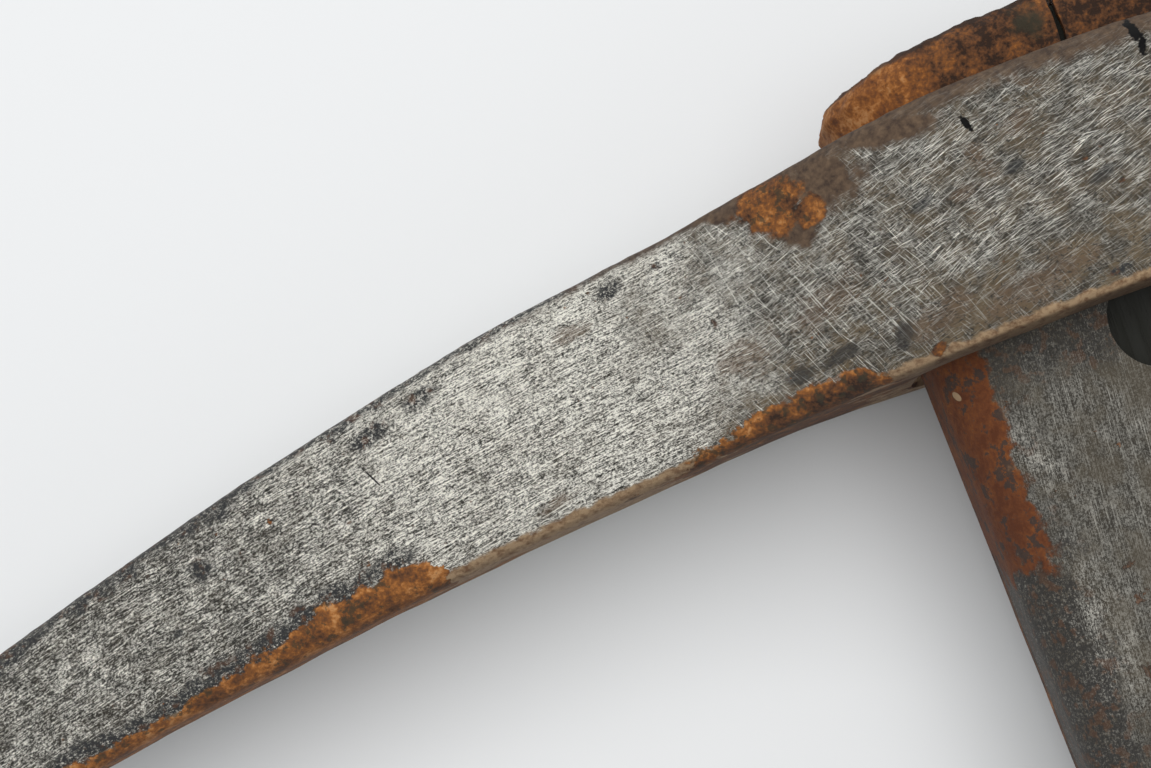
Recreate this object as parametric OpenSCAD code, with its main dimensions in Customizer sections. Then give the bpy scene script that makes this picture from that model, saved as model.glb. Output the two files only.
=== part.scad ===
// A pickaxe: a forged head slips over the grip of a helve and jams on the steel sleeve at its top.
// It lies on its side. X runs along the arms, Y along the helve towards the head, and Z is up.
// The origin is on the lower cheek, under the centre of the eye.

/* [Head] */
// Straight length of the head from tip to tip
head_span = 635; // [520:5:760]
// Depth of the head at the eye, measured along the helve
head_depth = 39; // [32:1:48]
// Depth of each arm where it leaves the cheeks
shoulder_depth = 35; // [28:1:42]
// Thickness of each arm where it leaves the cheeks
shoulder_thickness = 26; // [20:1:34]
// Length of the flare between the end of the eye and the plain arm
flare_run = 38; // [28:1:60]
// Radius of the curve that each arm follows
arm_bend = 820; // [700:5:1400]
// Fall of each arm per millimetre where it leaves the eye
arm_fall = 0.026; // [0:0.002:0.06]
// Depth of both arms at the tip
tip_depth = 4.5; // [3:0.5:10]
// Thickness of the pointed arm at its tip
point_thickness = 5; // [3:0.5:10]
// Width of the chisel edge
chisel_width = 32; // [24:1:50]
// Length of the blunt nose ground on each tip
nose_run = 7; // [4:1:14]
// Rounding of the arms' long edges
arm_edge_r = 4.5; // [2:0.5:6]
// Rounding of the cheeks' long edges
cheek_edge_r = 3; // [1:0.5:5]

/* [Eye] */
// Metal of each cheek beside the top of the eye
cheek_wall = 9; // [6:0.5:14]
// Length of the flat on each cheek, along the arms
cheek_flat = 28; // [12:1:36]
// Running gap between the eye and the sleeve
eye_gap = 0.3; // [0.1:0.05:0.5]
// Chamfer round both mouths of the eye
eye_chamfer = 1; // [0.5:0.25:2]

/* [Sleeve] */
// Width of the sleeve at its rim, along the arms
sleeve_width = 76; // [66:1:90]
// Thickness of the sleeve at its rim
sleeve_thickness = 51; // [44:1:62]
// Corner radius of the sleeve at its rim
sleeve_corner = 18; // [16:1:21]
// Length of the sleeve along the helve
sleeve_length = 165; // [130:5:220]
// Thickness of the sheet
sheet = 2; // [1:0.25:3]
// How far the crest of the rim stands above the head
rim_stand = 9.5; // [7:0.5:16]
// Radius of the rim's crown across the width
rim_crown = 170; // [140:10:400]
// Rounding of the rim's outer edge
rim_r = 4; // [3.5:0.5:6]
// How far the rim is turned in over the wood, from the outer face
rim_lip = 8; // [6.5:0.5:10]
// Narrowing of each side per millimetre inside the eye
seat_taper = 0.06; // [0.03:0.005:0.08]
// Narrowing of each side per millimetre below the eye
shank_taper = 0.032; // [0.01:0.002:0.04]
// Diameter of the round window on the seam
window_d = 16.5; // [10:0.5:22]
// Distance from the rim's crest down to the middle of the window
window_drop = 53; // [46:0.5:70]
// Gap of the butt seam above the window
upper_seam = 1.2; // [0.6:0.2:3]
// Gap of the butt seam below the window
lower_seam = 0.6; // [0.4:0.2:2]

/* [Helve] */
// Length of the wood
helve_length = 912; // [700:1:1000]
// Width of the grip, along the arms
grip_width = 44; // [36:1:50]
// Thickness of the grip
grip_thickness = 33; // [28:1:38]
// Distance from the sleeve to the start of the grip
neck_run = 190; // [120:5:260]
// Room between the butt's swell and the eye that passes over it, at each end of the oval
butt_end_room = 10.9; // [8:0.1:14]
// Room between the butt's swell and the eye that passes over it, on each side of the oval
butt_side_room = 3.9; // [2:0.1:5]
// Length of the swell at the butt
butt_run = 150; // [90:5:220]
// Gap between the wood and the sleeve
wood_gap = 0.1; // [0.05:0.05:0.3]

/* [Rivets] */
// Diameter of the rivet shanks
rivet_d = 6; // [4:0.5:8]
// Diameter of the rivet heads
rivet_head_d = 12; // [10:0.5:15]
// Height of the rivet heads
rivet_head_h = 1.6; // [1:0.2:2.2]
// Distance between the two rivets
rivet_spread = 28; // [22:1:36]
// Distance from the lower end of the sleeve up to the rivets
rivet_rise = 22; // [14:1:40]

/* [Hidden] */

corner_steps = 4;         // facets in each rounded edge of the head
oval_steps = 8;           // facets in each corner of the helve
arc_steps = 8;            // straight strips in each drawn arc
crown_steps = 16;         // straight strips across the rim's crown
flare_step = 4;           // spacing of the head's sections near the eye
arm_step = 10;            // spacing of the head's sections along the arms
neck_step = 14;           // spacing of the helve's sections where it changes shape
grip_step = 60;           // spacing of the helve's sections along the plain grip
bore_fn = 96;             // roundness of the window and the sleeve's corners
rivet_fn = 48;            // roundness of the rivets

taper_power = 1.1;        // how late the arms thin: 1 is a straight taper
edge_share = 0.35;        // most of an arm's side that a rounded edge may take
nose_share = 0.45;        // size of a tip's end face against the arm behind its nose
fall_blend = 20;          // half length over which the falls of the two arms meet at the eye
cheek_proud = 0.4;        // forged stock that is ground off each cheek to make it flat
grip_flatness = 1;        // degrees that the grip's quarters close short of a full ellipse
past = 1;                 // how far a cutting tool runs past a face
plug_sink = 5;            // how far the fitted top of the wood reaches into the body of the helve
shank_play = 0.05;        // gap round a rivet's shank
head_lift = 0.05;         // gap under a rivet's head

half_span = head_span / 2;
eye_top = head_depth / 2;
rim_y = eye_top + rim_stand;                         // crest of the sleeve's rim
foot_y = rim_y - sleeve_length;                      // lower end of the sleeve
seat_low = -eye_top - eye_chamfer / 2;               // height at which the sleeve's taper changes
corner_x = sleeve_width / 2 - sleeve_corner;         // centres of the oval's corners
corner_z = sleeve_thickness / 2 - sleeve_corner;
eye_low_r = sleeve_r(-eye_top) + eye_gap;            // corner radius of the eye at its lower mouth
eye_high_r = sleeve_r(eye_top) + eye_gap;            // corner radius of the eye at its upper mouth
half_cheek = corner_z + eye_high_r + cheek_wall;
flare_end = corner_x + sleeve_r(eye_top) + flare_run;
wood_end = rim_y - sheet - wood_gap - helve_length;  // butt of the wood
grip_top = foot_y - neck_run;
swell_top = wood_end + butt_run;
butt_width = 2 * (corner_x + eye_low_r - butt_end_room);
butt_thickness = 2 * (corner_z + eye_low_r - butt_side_room);
butt_round = butt_thickness / 4;
rivet_y = foot_y + rivet_rise;

function lerp(a, b, t) = a + (b - a) * t;
function clamp01(t) = max(0, min(1, t));
function smooth(a, b, x) = let (t = clamp01((x - a) / (b - a))) t * t * (3 - 2 * t);

// Corner radius of the sleeve's outside at height y on the helve's axis
function sleeve_r(y) =
    sleeve_corner
    - (rim_y - max(y, seat_low)) * seat_taper
    - max(0, seat_low - y) * shank_taper;

// Points along an arc
function arc(cx, cy, r, from, to, steps) = [
    for (k = [0:steps])
        let (turn = lerp(from, to, k / steps))
        [cx + r * cos(turn), cy + r * sin(turn)]
];

// Sign of each quarter of the plane, in the order that a ring is drawn
function side_x(q) = q == 0 || q == 3 ? 1 : -1;
function side_y(q) = q < 2 ? 1 : -1;

// Ring of a rounded rectangle of half sizes a and b, with corner radius r
function rounded_ring(a, b, r, steps) = [
    for (q = [0:3])
        each arc(side_x(q) * (a - r), side_y(q) * (b - r), r, 90 * q, 90 * q + 90, steps)
];

// Ring of an ellipse of half sizes a and b, point for point in step with rounded_ring
function oval_ring(a, b, steps) = [
    for (q = [0:3])
        for (p = arc(0, 0, 1, 90 * q + grip_flatness, 90 * q + 90 - grip_flatness, steps))
            [a * p.x, b * p.y]
];

// A closed solid through a list of rings that all hold the same number of points
module loft(rings) {
    count = len(rings[0]);
    last = len(rings) - 1;
    sides = [
        for (i = [0:last - 1], j = [0:count - 1])
            let (
                a = i * count + j,
                b = i * count + (j + 1) % count,
                c = a + count,
                d = b + count
            )
            each [[a, c, b], [b, c, d]]
    ];
    first_cap = [for (j = [0:count - 1]) j];
    last_cap = [for (j = [count - 1:-1:0]) last * count + j];
    polyhedron(
        points = [for (ring = rings) each ring],
        faces = concat(sides, [first_cap, last_cap]),
        convexity = 6
    );
}

// Lays children down, with their Z along the helve and their Y pointing at the floor
module along_helve() {
    translate([0, 0, half_cheek])
        rotate([-90, 0, 0])
            children();
}

// Sweeps a wall, drawn as corner radius against height, round the oval of the sleeve and the eye
module round_oval() {
    for (q = [0:3])
        translate([side_x(q) * corner_x, side_y(q) * corner_z, 0])
            rotate([0, 0, 90 * q])
                rotate_extrude(angle = 90, $fn = bore_fn) children();
    for (s = [-1, 1]) {
        translate([s * corner_x, 0, 0])
            rotate([90, 0, s < 0 ? 180 : 0])
                linear_extrude(2 * corner_z, center = true) children();
        translate([0, s * corner_z, 0])
            rotate([90, 0, s * 90])
                linear_extrude(2 * corner_x, center = true) children();
    }
}

// Middle of the oval, which the sweep leaves open
module oval_core(low, high) {
    translate([-corner_x, -corner_z, low])
        cube([2 * corner_x, 2 * corner_z, high - low]);
}

// Centreline of the head and its slope
function arm_y(x) =
    -arm_fall * (sqrt(x * x + fall_blend * fall_blend) - fall_blend) - x * x / (2 * arm_bend);
function arm_slope(x) = -arm_fall * x / sqrt(x * x + fall_blend * fall_blend) - x / arm_bend;

// How much of the cheeks' swelling is left at x
function cheek_share(x) = 1 - smooth(cheek_flat / 2, flare_end, abs(x));
function taper(a, b, x) =
    lerp(a, b, pow(clamp01((abs(x) - flare_end) / (half_span - flare_end)), taper_power));
function nose(x) = lerp(nose_share, 1, clamp01((half_span - abs(x)) / nose_run));

function arm_depth(x) =
    nose(x) * (taper(shoulder_depth, tip_depth, x) + (head_depth - shoulder_depth) * cheek_share(x));

// The negative arm thins to a point and the positive arm widens to a chisel
function arm_thickness(x) =
    (x < 0 ? nose(x) * taper(shoulder_thickness, point_thickness, x)
           : taper(shoulder_thickness, chisel_width, x))
    + (2 * (half_cheek + cheek_proud) - shoulder_thickness) * cheek_share(x);

function edge_r(x) = min(
    lerp(arm_edge_r, cheek_edge_r + cheek_proud, cheek_share(x)),
    edge_share * arm_depth(x),
    edge_share * arm_thickness(x)
);

// One section of the head, square to its centreline
function head_ring(x) =
    let (
        m = arm_slope(x),
        n = 1 / sqrt(1 + m * m)
    )
    [
        for (p = rounded_ring(arm_thickness(x) / 2, arm_depth(x) / 2, edge_r(x), corner_steps))
            [x - m * n * p.y, arm_y(x) + n * p.y, half_cheek + p.x]
    ];

// Places of the sections on one side of the eye
function half_stations() =
    let (
        near = ceil(flare_end / flare_step),
        far = ceil((half_span - nose_run - flare_end) / arm_step)
    )
    concat(
        [for (i = [1:near]) flare_end * i / near],
        [for (i = [1:far]) lerp(flare_end, half_span - nose_run, i / far)],
        [half_span]
    );

module head_forging() {
    out = half_stations();
    stations = concat([for (i = [len(out) - 1:-1:0]) -out[i]], [0], out);
    intersection() {
        loft([for (x = stations) head_ring(x)]);
        translate([-head_span, -head_span, 0])
            cube([2 * head_span, 2 * head_span, 2 * half_cheek]);
    }
}

// The hole that the sleeve fills: its own taper, a running gap wider, with chamfered mouths
module eye_cut() {
    reach = eye_top + past;
    low_reach = reach - arm_y(corner_x + eye_low_r);  // the head has fallen by this much at the eye's ends
    mouth = eye_chamfer + past;
    round_oval()
        polygon([
            [0, -low_reach],
            [eye_low_r + mouth, -low_reach],
            [eye_low_r + mouth, -reach],
            [eye_low_r, mouth - reach],
            [eye_high_r, reach - mouth],
            [eye_high_r + mouth, reach],
            [0, reach]
        ]);
    oval_core(-low_reach, reach);
}

module pick_head() {
    color([0.45, 0.43, 0.41])
        difference() {
            head_forging();
            along_helve() eye_cut();
        }
}

// Outline of the rim seen from the front: a crown that rolls over into both sides
module rim_outline(inset) {
    crown_y = rim_y - rim_crown;
    roll_x = sleeve_width / 2 - rim_r;
    roll_y = crown_y + sqrt(pow(rim_crown - rim_r, 2) - roll_x * roll_x);
    roll_turn = atan2(roll_y - crown_y, roll_x);
    edge_x = sleeve_width / 2 - inset;
    polygon(concat(
        [[-edge_x, foot_y - plug_sink - past], [edge_x, foot_y - plug_sink - past]],
        arc(roll_x, roll_y, rim_r - inset, 0, roll_turn, arc_steps),
        arc(0, crown_y, rim_crown - inset, roll_turn, 180 - roll_turn, crown_steps),
        arc(-roll_x, roll_y, rim_r - inset, 180 - roll_turn, 180, arc_steps)
    ));
}

// The sleeve's outside brought in by a constant inset: the sheet, or the sheet and the gap
module sleeve_form(inset, low) {
    roll_r = sleeve_corner - rim_r;
    intersection() {
        union() {
            round_oval()
                polygon(concat(
                    [
                        [0, low],
                        [sleeve_r(low) - inset, low],
                        [sleeve_r(seat_low) - inset, seat_low]
                    ],
                    arc(roll_r, rim_y - rim_r, rim_r - inset, 0, 90, arc_steps),
                    [[0, rim_y - inset]]
                ));
            oval_core(low, rim_y - inset);
        }
        rotate([90, 0, 0])
            linear_extrude(sleeve_thickness + 2 * past, center = true)
                rim_outline(inset);
    }
}

// The opening inside the turned-in lip, through which the end of the wood shows
module lip_opening() {
    low = rim_y - sleeve_corner;
    round_oval()
        translate([0, low]) square([sleeve_corner - rim_lip, sleeve_corner + past]);
    oval_core(low, rim_y + past);
}

module ferrule() {
    window_y = rim_y - window_drop;
    reach = sleeve_thickness / 2 + past;
    color([0.42, 0.35, 0.30])
        along_helve()
            difference() {
                sleeve_form(0, foot_y);
                sleeve_form(sheet, foot_y - past);
                lip_opening();
                translate([0, 0, window_y])
                    rotate([90, 0, 0]) cylinder(d = window_d, h = reach, $fn = bore_fn);
                translate([-upper_seam / 2, -reach, window_y])
                    cube([upper_seam, reach, window_drop + past]);
                translate([-lower_seam / 2, -reach, foot_y - past])
                    cube([lower_seam, reach, window_y - foot_y + past]);
                rivet_holes();
            }
}

// Heights of the wood's sections below the sleeve, from the shoulder to the rounded butt
function helve_heights() =
    let (
        shoulder = foot_y - wood_gap,
        neck = ceil(neck_run / neck_step),
        grip = ceil((grip_top - swell_top) / grip_step),
        swell = ceil(butt_run / neck_step)
    )
    concat(
        [for (i = [0:neck]) lerp(shoulder, grip_top, i / neck)],
        [for (i = [1:grip]) lerp(grip_top, swell_top, i / grip)],
        [for (i = [1:swell]) lerp(swell_top, wood_end + butt_round, i / swell)],
        [for (i = [1:arc_steps]) wood_end + butt_round * (1 - sin(90 * i / arc_steps))]
    );

// One section of the wood: the sleeve's oval at the shoulder turns into the ellipse of the grip
function helve_ring(y) =
    let (
        into_neck = smooth(0, neck_run, foot_y - y),
        into_swell = smooth(0, butt_run - butt_round, swell_top - y),
        up = clamp01((wood_end + butt_round - y) / butt_round),
        rounding = butt_round * (1 - sqrt(1 - up * up)),
        r = sleeve_r(foot_y),
        top = rounded_ring(corner_x + r, corner_z + r, r, oval_steps),
        grip = oval_ring(
            lerp(grip_width, butt_width, into_swell) / 2 - rounding,
            lerp(grip_thickness, butt_thickness, into_swell) / 2 - rounding,
            oval_steps
        )
    )
    [
        for (i = [0:len(top) - 1])
            let (p = lerp(top[i], grip[i], into_neck))
            [p.x, p.y, y]
    ];

module helve() {
    heights = helve_heights();
    color([0.45, 0.33, 0.22])
        along_helve()
            difference() {
                union() {
                    sleeve_form(sheet + wood_gap, foot_y - plug_sink);
                    loft([for (i = [len(heights) - 1:-1:0]) helve_ring(heights[i])]);
                }
                rivet_holes();
            }
}

// Places children on the axis of one rivet, pointing through both flats
module at_rivet(side) {
    translate([side * rivet_spread / 2, 0, rivet_y])
        rotate([90, 0, 0])
            children();
}

module rivet_holes() {
    drill_d = rivet_d + 2 * shank_play;
    for (side = [-1, 1])
        at_rivet(side)
            cylinder(d = drill_d, h = sleeve_thickness + 2 * past, center = true, $fn = rivet_fn);
}

// A rivet set from both sides of the sleeve, with a low round head on each face
module rivet(side) {
    face = corner_z + sleeve_r(rivet_y) + shank_taper * rivet_head_d / 2 + head_lift;
    dome_r = (pow(rivet_head_d / 2, 2) + pow(rivet_head_h, 2)) / (2 * rivet_head_h);
    dome_turn = acos(rivet_head_d / 2 / dome_r);
    color([0.30, 0.25, 0.22])
        along_helve()
            at_rivet(side) {
                cylinder(d = rivet_d, h = 2 * face, center = true, $fn = rivet_fn);
                for (flip = [0, 180])
                    rotate([flip, 0, 0])
                        translate([0, 0, face])
                            rotate_extrude($fn = rivet_fn)
                                polygon(concat(
                                    [[0, 0]],
                                    arc(0, rivet_head_h - dome_r, dome_r, dome_turn, 90, arc_steps)
                                ));
            }
}

module ferrule_rivet_left() { rivet(-1); }
module ferrule_rivet_right() { rivet(1); }

pick_head();
ferrule();
helve();
ferrule_rivet_left();
ferrule_rivet_right();
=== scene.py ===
# The looks of a pickaxe: a worn forged head, jammed on the rusted steel sleeve of an ash helve.
import math

import bmesh
import bpy
from mathutils import Matrix, Vector, noise


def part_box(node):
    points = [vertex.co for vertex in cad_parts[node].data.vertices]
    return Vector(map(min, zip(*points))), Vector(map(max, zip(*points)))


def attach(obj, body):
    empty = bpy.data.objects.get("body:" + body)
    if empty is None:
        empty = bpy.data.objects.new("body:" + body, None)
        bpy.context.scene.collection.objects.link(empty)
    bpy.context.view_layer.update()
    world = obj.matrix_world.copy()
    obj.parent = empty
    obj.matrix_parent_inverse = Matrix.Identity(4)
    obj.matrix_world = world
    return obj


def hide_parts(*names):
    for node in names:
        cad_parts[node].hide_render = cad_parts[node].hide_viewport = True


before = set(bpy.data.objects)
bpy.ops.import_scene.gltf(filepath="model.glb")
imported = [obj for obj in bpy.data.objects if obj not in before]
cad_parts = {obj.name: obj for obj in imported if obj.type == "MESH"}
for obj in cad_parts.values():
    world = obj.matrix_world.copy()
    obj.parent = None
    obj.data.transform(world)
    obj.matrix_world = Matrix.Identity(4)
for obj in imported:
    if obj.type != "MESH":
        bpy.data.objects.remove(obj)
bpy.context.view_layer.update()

bl_info = {
    "name": "Pickaxe",
    "version": (1, 0, 0),
    "blender": (4, 5, 0),
    "location": "3D View > Sidebar > Pickaxe",
    "description": "Builds the worn surfaces of a pickaxe round its packed parts",
    "category": "Object",
}

MM = 0.001
HEAD_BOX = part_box("pick_head")
SLEEVE_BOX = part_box("ferrule")
WOOD_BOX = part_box("helve")
AXIS_Z = HEAD_BOX[1].z / 2  # height of the helve's axis above the floor
PAST = 1 * MM  # how far a cutter stands out of what it cuts
UP = Vector((0.0, 0.0, 1.0))


def lerp(a, b, share):
    return a + (b - a) * share


def clamp(value):
    return max(0.0, min(1.0, value))


def smooth(start, end, value):
    """0 before start, 1 after end, and an S-curve between."""
    share = clamp((value - start) / (end - start))
    return share * share * (3 - 2 * share)


def rough(place, size, height, seed=0.0):
    """Smooth noise of the given feature size and height, the same on every run."""
    return height * noise.noise(place / size + Vector((seed, 1.7 * seed, 2.9 * seed)))


# Sizes and colours that a user would change

def length(label, text, size_mm):
    """A length property, given in millimetres and held in metres."""
    return bpy.props.FloatProperty(
        name=label, description=text, default=size_mm * MM, min=0.0, precision=5, unit="LENGTH"
    )


def factor(label, text, value, top=1.0):
    return bpy.props.FloatProperty(
        name=label, description=text, default=value, min=0.0, max=top, subtype="FACTOR"
    )


def colour(label, text, red, green, blue):
    return bpy.props.FloatVectorProperty(
        name=label, description=text, default=(red, green, blue), min=0.0, max=1.0, subtype="COLOR"
    )


class HeadSizes(bpy.types.PropertyGroup):
    """Form of the forged head."""

    span: length("Span", "Straight length from tip to tip", 635)
    depth: length("Depth at the eye", "Depth along the helve, at the eye", 39)
    shoulder_depth: length("Depth of the arms", "Depth of each arm where it leaves the cheeks", 35)
    shoulder_thickness: length("Thickness of the arms", "Thickness where they leave the cheeks", 26)
    flare: length("Flare", "Length between the end of the eye and the plain arm", 38)
    bend: length("Bend", "Radius of the curve that each arm follows", 832)
    tip_depth: length("Depth of the tips", "Depth of both arms at the tip", 4.5)
    point_thickness: length("Thickness of the point", "Thickness of the pointed arm at its tip", 5)
    chisel_width: length("Chisel width", "Width of the chisel edge", 32)
    nose: length("Nose", "Length of the blunt nose ground on each tip", 7)
    arm_edge: length("Edge of the arms", "Rounding of the arms' long edges", 4.5)
    cheek_edge: length("Edge of the cheeks", "Rounding of the cheeks' long edges", 3.4)
    cheek_flat: length("Flat", "Length of the flat on each cheek", 28)
    eye_gap: length("Eye gap", "Running gap between the eye and the sleeve", 0.3)
    eye_chamfer: length("Eye chamfer", "Chamfer round both mouths of the eye", 1)
    fall: factor("Fall", "Fall of each arm per length where it leaves the eye", 0.026)


class SleeveSizes(bpy.types.PropertyGroup):
    """Form of the wrapped steel sleeve."""

    width: length("Width", "Width at the rim", 76)
    thickness: length("Thickness", "Thickness at the rim", 51)
    corner: length("Corner", "Corner radius at the rim", 18)
    sheet: length("Sheet", "Thickness of the sheet", 2)
    crown: length("Crown", "Radius of the rim's crown across the width", 170)
    roll: length("Roll", "Rounding of the rim's outer edge", 4)
    lip: length("Lip", "How far the rim is turned in over the wood", 8)
    window: length("Window", "Diameter of the round window on the seam", 16.5)
    window_drop: length("Window drop", "From the rim's crest to the middle of the window", 53)
    upper_seam: length("Upper seam", "Gap of the butt seam above the window", 1.0)
    lower_seam: length("Lower seam", "Gap of the butt seam below the window", 0.6)
    seat_taper: factor("Seat taper", "Narrowing of each side per length inside the eye", 0.06)
    shank_taper: factor("Shank taper", "Narrowing of each side per length below the eye", 0.032)


class HelveSizes(bpy.types.PropertyGroup):
    """Form of the wooden helve."""

    grip_width: length("Grip width", "Width of the grip, along the arms", 44)
    grip_thickness: length("Grip thickness", "Thickness of the grip", 33)
    neck: length("Neck", "From the sleeve to the start of the grip", 190)
    butt_width: length("Butt width", "Width of the swell at the butt", 49)
    butt_thickness: length("Butt thickness", "Thickness of the swell at the butt", 38)
    butt_run: length("Butt length", "Length of the swell at the butt", 150)
    gap: length("Gap", "Gap between the wood and the sleeve", 0.1)


class RivetSizes(bpy.types.PropertyGroup):
    """Form and places of the two rivets."""

    shank: length("Shank", "Diameter of the shanks", 6)
    head: length("Head", "Diameter of the heads", 12)
    height: length("Height", "Height of the heads", 1.6)
    spread: length("Spread", "Distance between the two rivets", 28)
    rise: length("Rise", "From the lower end of the sleeve up to the rivets", 22)


class Finish(bpy.types.PropertyGroup):
    """Colours of the worn steel, the rust and the wood."""

    # The bright steel colour, near white, also stands for painted glints: the ground grains swing up to
    # it where real steel sparkles with reflected light.
    bright: colour("Bright steel", "Steel polished by use and by the grinder", 0.90, 0.870, 0.775)
    dark: colour("Dark steel", "Pits and low places between the polished grains", 0.030, 0.029, 0.026)
    stain: colour("Stain", "Thin brown film on the steel", 0.122, 0.090, 0.053)
    scale: colour("Scale", "Blue-black forging scale", 0.028, 0.029, 0.030)
    # Painted shade: near black for the shade at the bottom of pits and cracks, which the mesh does not
    # cut.
    hollow: colour("Hollow", "Bottom of the deepest pits and cracks", 0.006, 0.006, 0.006)
    brown_dark: colour("Dark brown film", "Dark side of the dull brown film", 0.048, 0.032, 0.024)
    brown_pale: colour("Pale brown film", "Pale side of the dull brown film", 0.132, 0.088, 0.056)
    olive: colour("Olive scale", "Greenish-black islands in the rust", 0.036, 0.032, 0.021)
    rust_deep: colour("Deep rust", "Oldest and darkest rust", 0.028, 0.016, 0.011)
    rust_brown: colour("Brown rust", "Hard brown rust", 0.106, 0.046, 0.021)
    rust_warm: colour("Warm rust", "Rust between brown and orange", 0.188, 0.072, 0.022)
    rust_orange: colour("Orange rust", "Fresh orange rust", 0.315, 0.124, 0.034)
    rust_dry: colour("Dry rust", "Palest crumbs of rust", 0.44, 0.215, 0.082)
    rust_pale: colour("Pale rust", "Dry, pale rust on corners", 0.345, 0.240, 0.142)
    rust_red: colour("Red rust", "Red rust on the sleeve", 0.135, 0.038, 0.013)
    sleeve_film: colour("Sleeve film", "Thin film on the sleeve", 0.100, 0.083, 0.058)
    sleeve_scale: colour("Sleeve scale", "Scale on the sleeve", 0.033, 0.031, 0.029)
    worn_rivet: colour("Worn rivet", "Worn tops of the rivets", 0.19, 0.18, 0.165)
    ash_pale: colour("Pale ash", "Spring wood of the helve", 0.36, 0.24, 0.135)
    ash_dark: colour("Dark ash", "Summer wood of the helve", 0.13, 0.075, 0.040)
    ash_pore: colour("Pores", "Dirt in the pores and bruises of the wood", 0.040, 0.027, 0.018)
    ash_grey: colour("Grey ash", "Weathered wood", 0.17, 0.14, 0.11)
    tar: colour("Tar", "Oil and rust soaked into the wood beside the steel", 0.012, 0.0120, 0.0095)


class StageSettings(bpy.types.PropertyGroup):
    """Floor, light and camera."""

    lens: bpy.props.FloatProperty(
        name="Lens", description="Focal length", default=112.6, unit="CAMERA"
    )
    roll: bpy.props.FloatProperty(
        name="Roll", description="Turn of the camera about its view", default=math.radians(19.2),
        subtype="ANGLE",
    )
    place: bpy.props.FloatVectorProperty(
        name="Camera", description="Where the camera stands", subtype="TRANSLATION",
        default=(-88.27 * MM, -52.64 * MM, 607.9 * MM),
    )
    aim: bpy.props.FloatVectorProperty(
        name="Aim", description="Point that the camera looks at", subtype="TRANSLATION",
        default=(-88.27 * MM, -4.01 * MM, 50 * MM),
    )
    floor: length("Floor", "Side of the square floor", 60000)
    paper: factor("Paper", "Brightness of the floor", 0.74)
    sky: factor("Sky", "Strength of the even light from all round", 0.41)
    lamp_power: bpy.props.FloatProperty(
        name="Lamp", description="Power of the soft lamp", default=23.3, unit="POWER"
    )
    lamp_size: length("Lamp size", "Side of the square lamp", 1350)


# Sections and lofts

def ring_plan(arc, long_side, short_side):
    """Points round a rounded rectangle: the corner each starts from, the one after it, the outward turn
    and the share of the way between the two corners."""
    plan = []
    for corner in range(4):
        for step in range(arc + 1):
            plan.append((corner, corner, math.pi / 2 * (corner + step / arc), 0.0))
        side = long_side if corner % 2 == 0 else short_side
        for step in range(1, side):
            plan.append((corner, (corner + 1) % 4, math.pi / 2 * (corner + 1), step / side))
    return plan


def ring_points(plan, core_x, core_y, radius):
    """Places and outward directions in the plane, round corners whose centres lie at the core sizes."""
    for corner, other, turn, share in plan:
        out = Vector((math.cos(turn), math.sin(turn)))
        ends = [
            Vector((core_x * (1 if c in (0, 3) else -1), core_y * (1 if c < 2 else -1)))
            for c in (corner, other)
        ]
        yield ends[0].lerp(ends[1], share) + out * radius, out


def loft(rings):
    """A tube through rings of points, made from one circle that is extruded ring by ring."""
    rings = iter(rings)
    first = list(next(rings))
    bm = bmesh.new()
    order = bm.verts.layers.int.new("order")
    circle = bmesh.ops.create_circle(bm, segments=len(first), radius=1.0)["verts"]
    for number, vert in enumerate(circle):
        vert[order] = number
        vert.co = first[number]
    edges = list(bm.edges)
    for ring in rings:
        ring = list(ring)
        grown = bmesh.ops.extrude_edge_only(bm, edges=edges)["geom"]
        for vert in grown:
            if isinstance(vert, bmesh.types.BMVert):
                vert.co = ring[vert[order]]
        edges = [part for part in grown if isinstance(part, bmesh.types.BMEdge) and part.is_boundary]
    return bm


def open_edges(bm):
    return [edge for edge in bm.edges if edge.is_boundary]


def close_ends(bm):
    bmesh.ops.holes_fill(bm, edges=open_edges(bm), sides=0)


def close_wall(bm):
    """Joins the last ring of a wall to its first, so that the tube becomes a closed sheet."""
    bmesh.ops.bridge_loops(bm, edges=open_edges(bm))


def to_object(name, bm):
    bmesh.ops.recalc_face_normals(bm, faces=bm.faces)
    mesh = bpy.data.meshes.new(name)
    bm.to_mesh(mesh)
    bm.free()
    made = bpy.data.objects.new(name, mesh)
    bpy.context.scene.collection.objects.link(made)
    return made


def carve(piece, *cutters):
    """Cuts the cutters out of a piece, for good, and removes them."""
    for cutter in cutters:
        cut = piece.modifiers.new("carve", "BOOLEAN")
        cut.operation = "DIFFERENCE"
        cut.solver = "MANIFOLD"
        cut.object = cutter
    graph = bpy.context.evaluated_depsgraph_get()
    old = piece.data
    piece.data = bpy.data.meshes.new_from_object(piece.evaluated_get(graph))
    piece.data.name = piece.name
    piece.modifiers.clear()
    bpy.data.meshes.remove(old)
    for cutter in cutters:
        bpy.data.objects.remove(cutter)


def hand_over(piece, material, body, node, crease=38.0):
    """Smooths a finished piece, paints it and puts it in the place of its CAD node."""
    piece.data.materials.clear()
    piece.data.materials.append(material)
    piece.data.shade_smooth()
    piece.data.set_sharp_from_angle(angle=math.radians(crease))
    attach(piece, body)
    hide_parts(node)


def mark(piece, name, value_at):
    """Stores a vector for each vertex of a mesh, worked out from its place."""
    layer = piece.data.attributes.new(name, "FLOAT_VECTOR", "POINT")
    values = []
    for vert in piece.data.vertices:
        values.extend(value_at(vert.co))
    layer.data.foreach_set("vector", values)


# Form of the head

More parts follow.
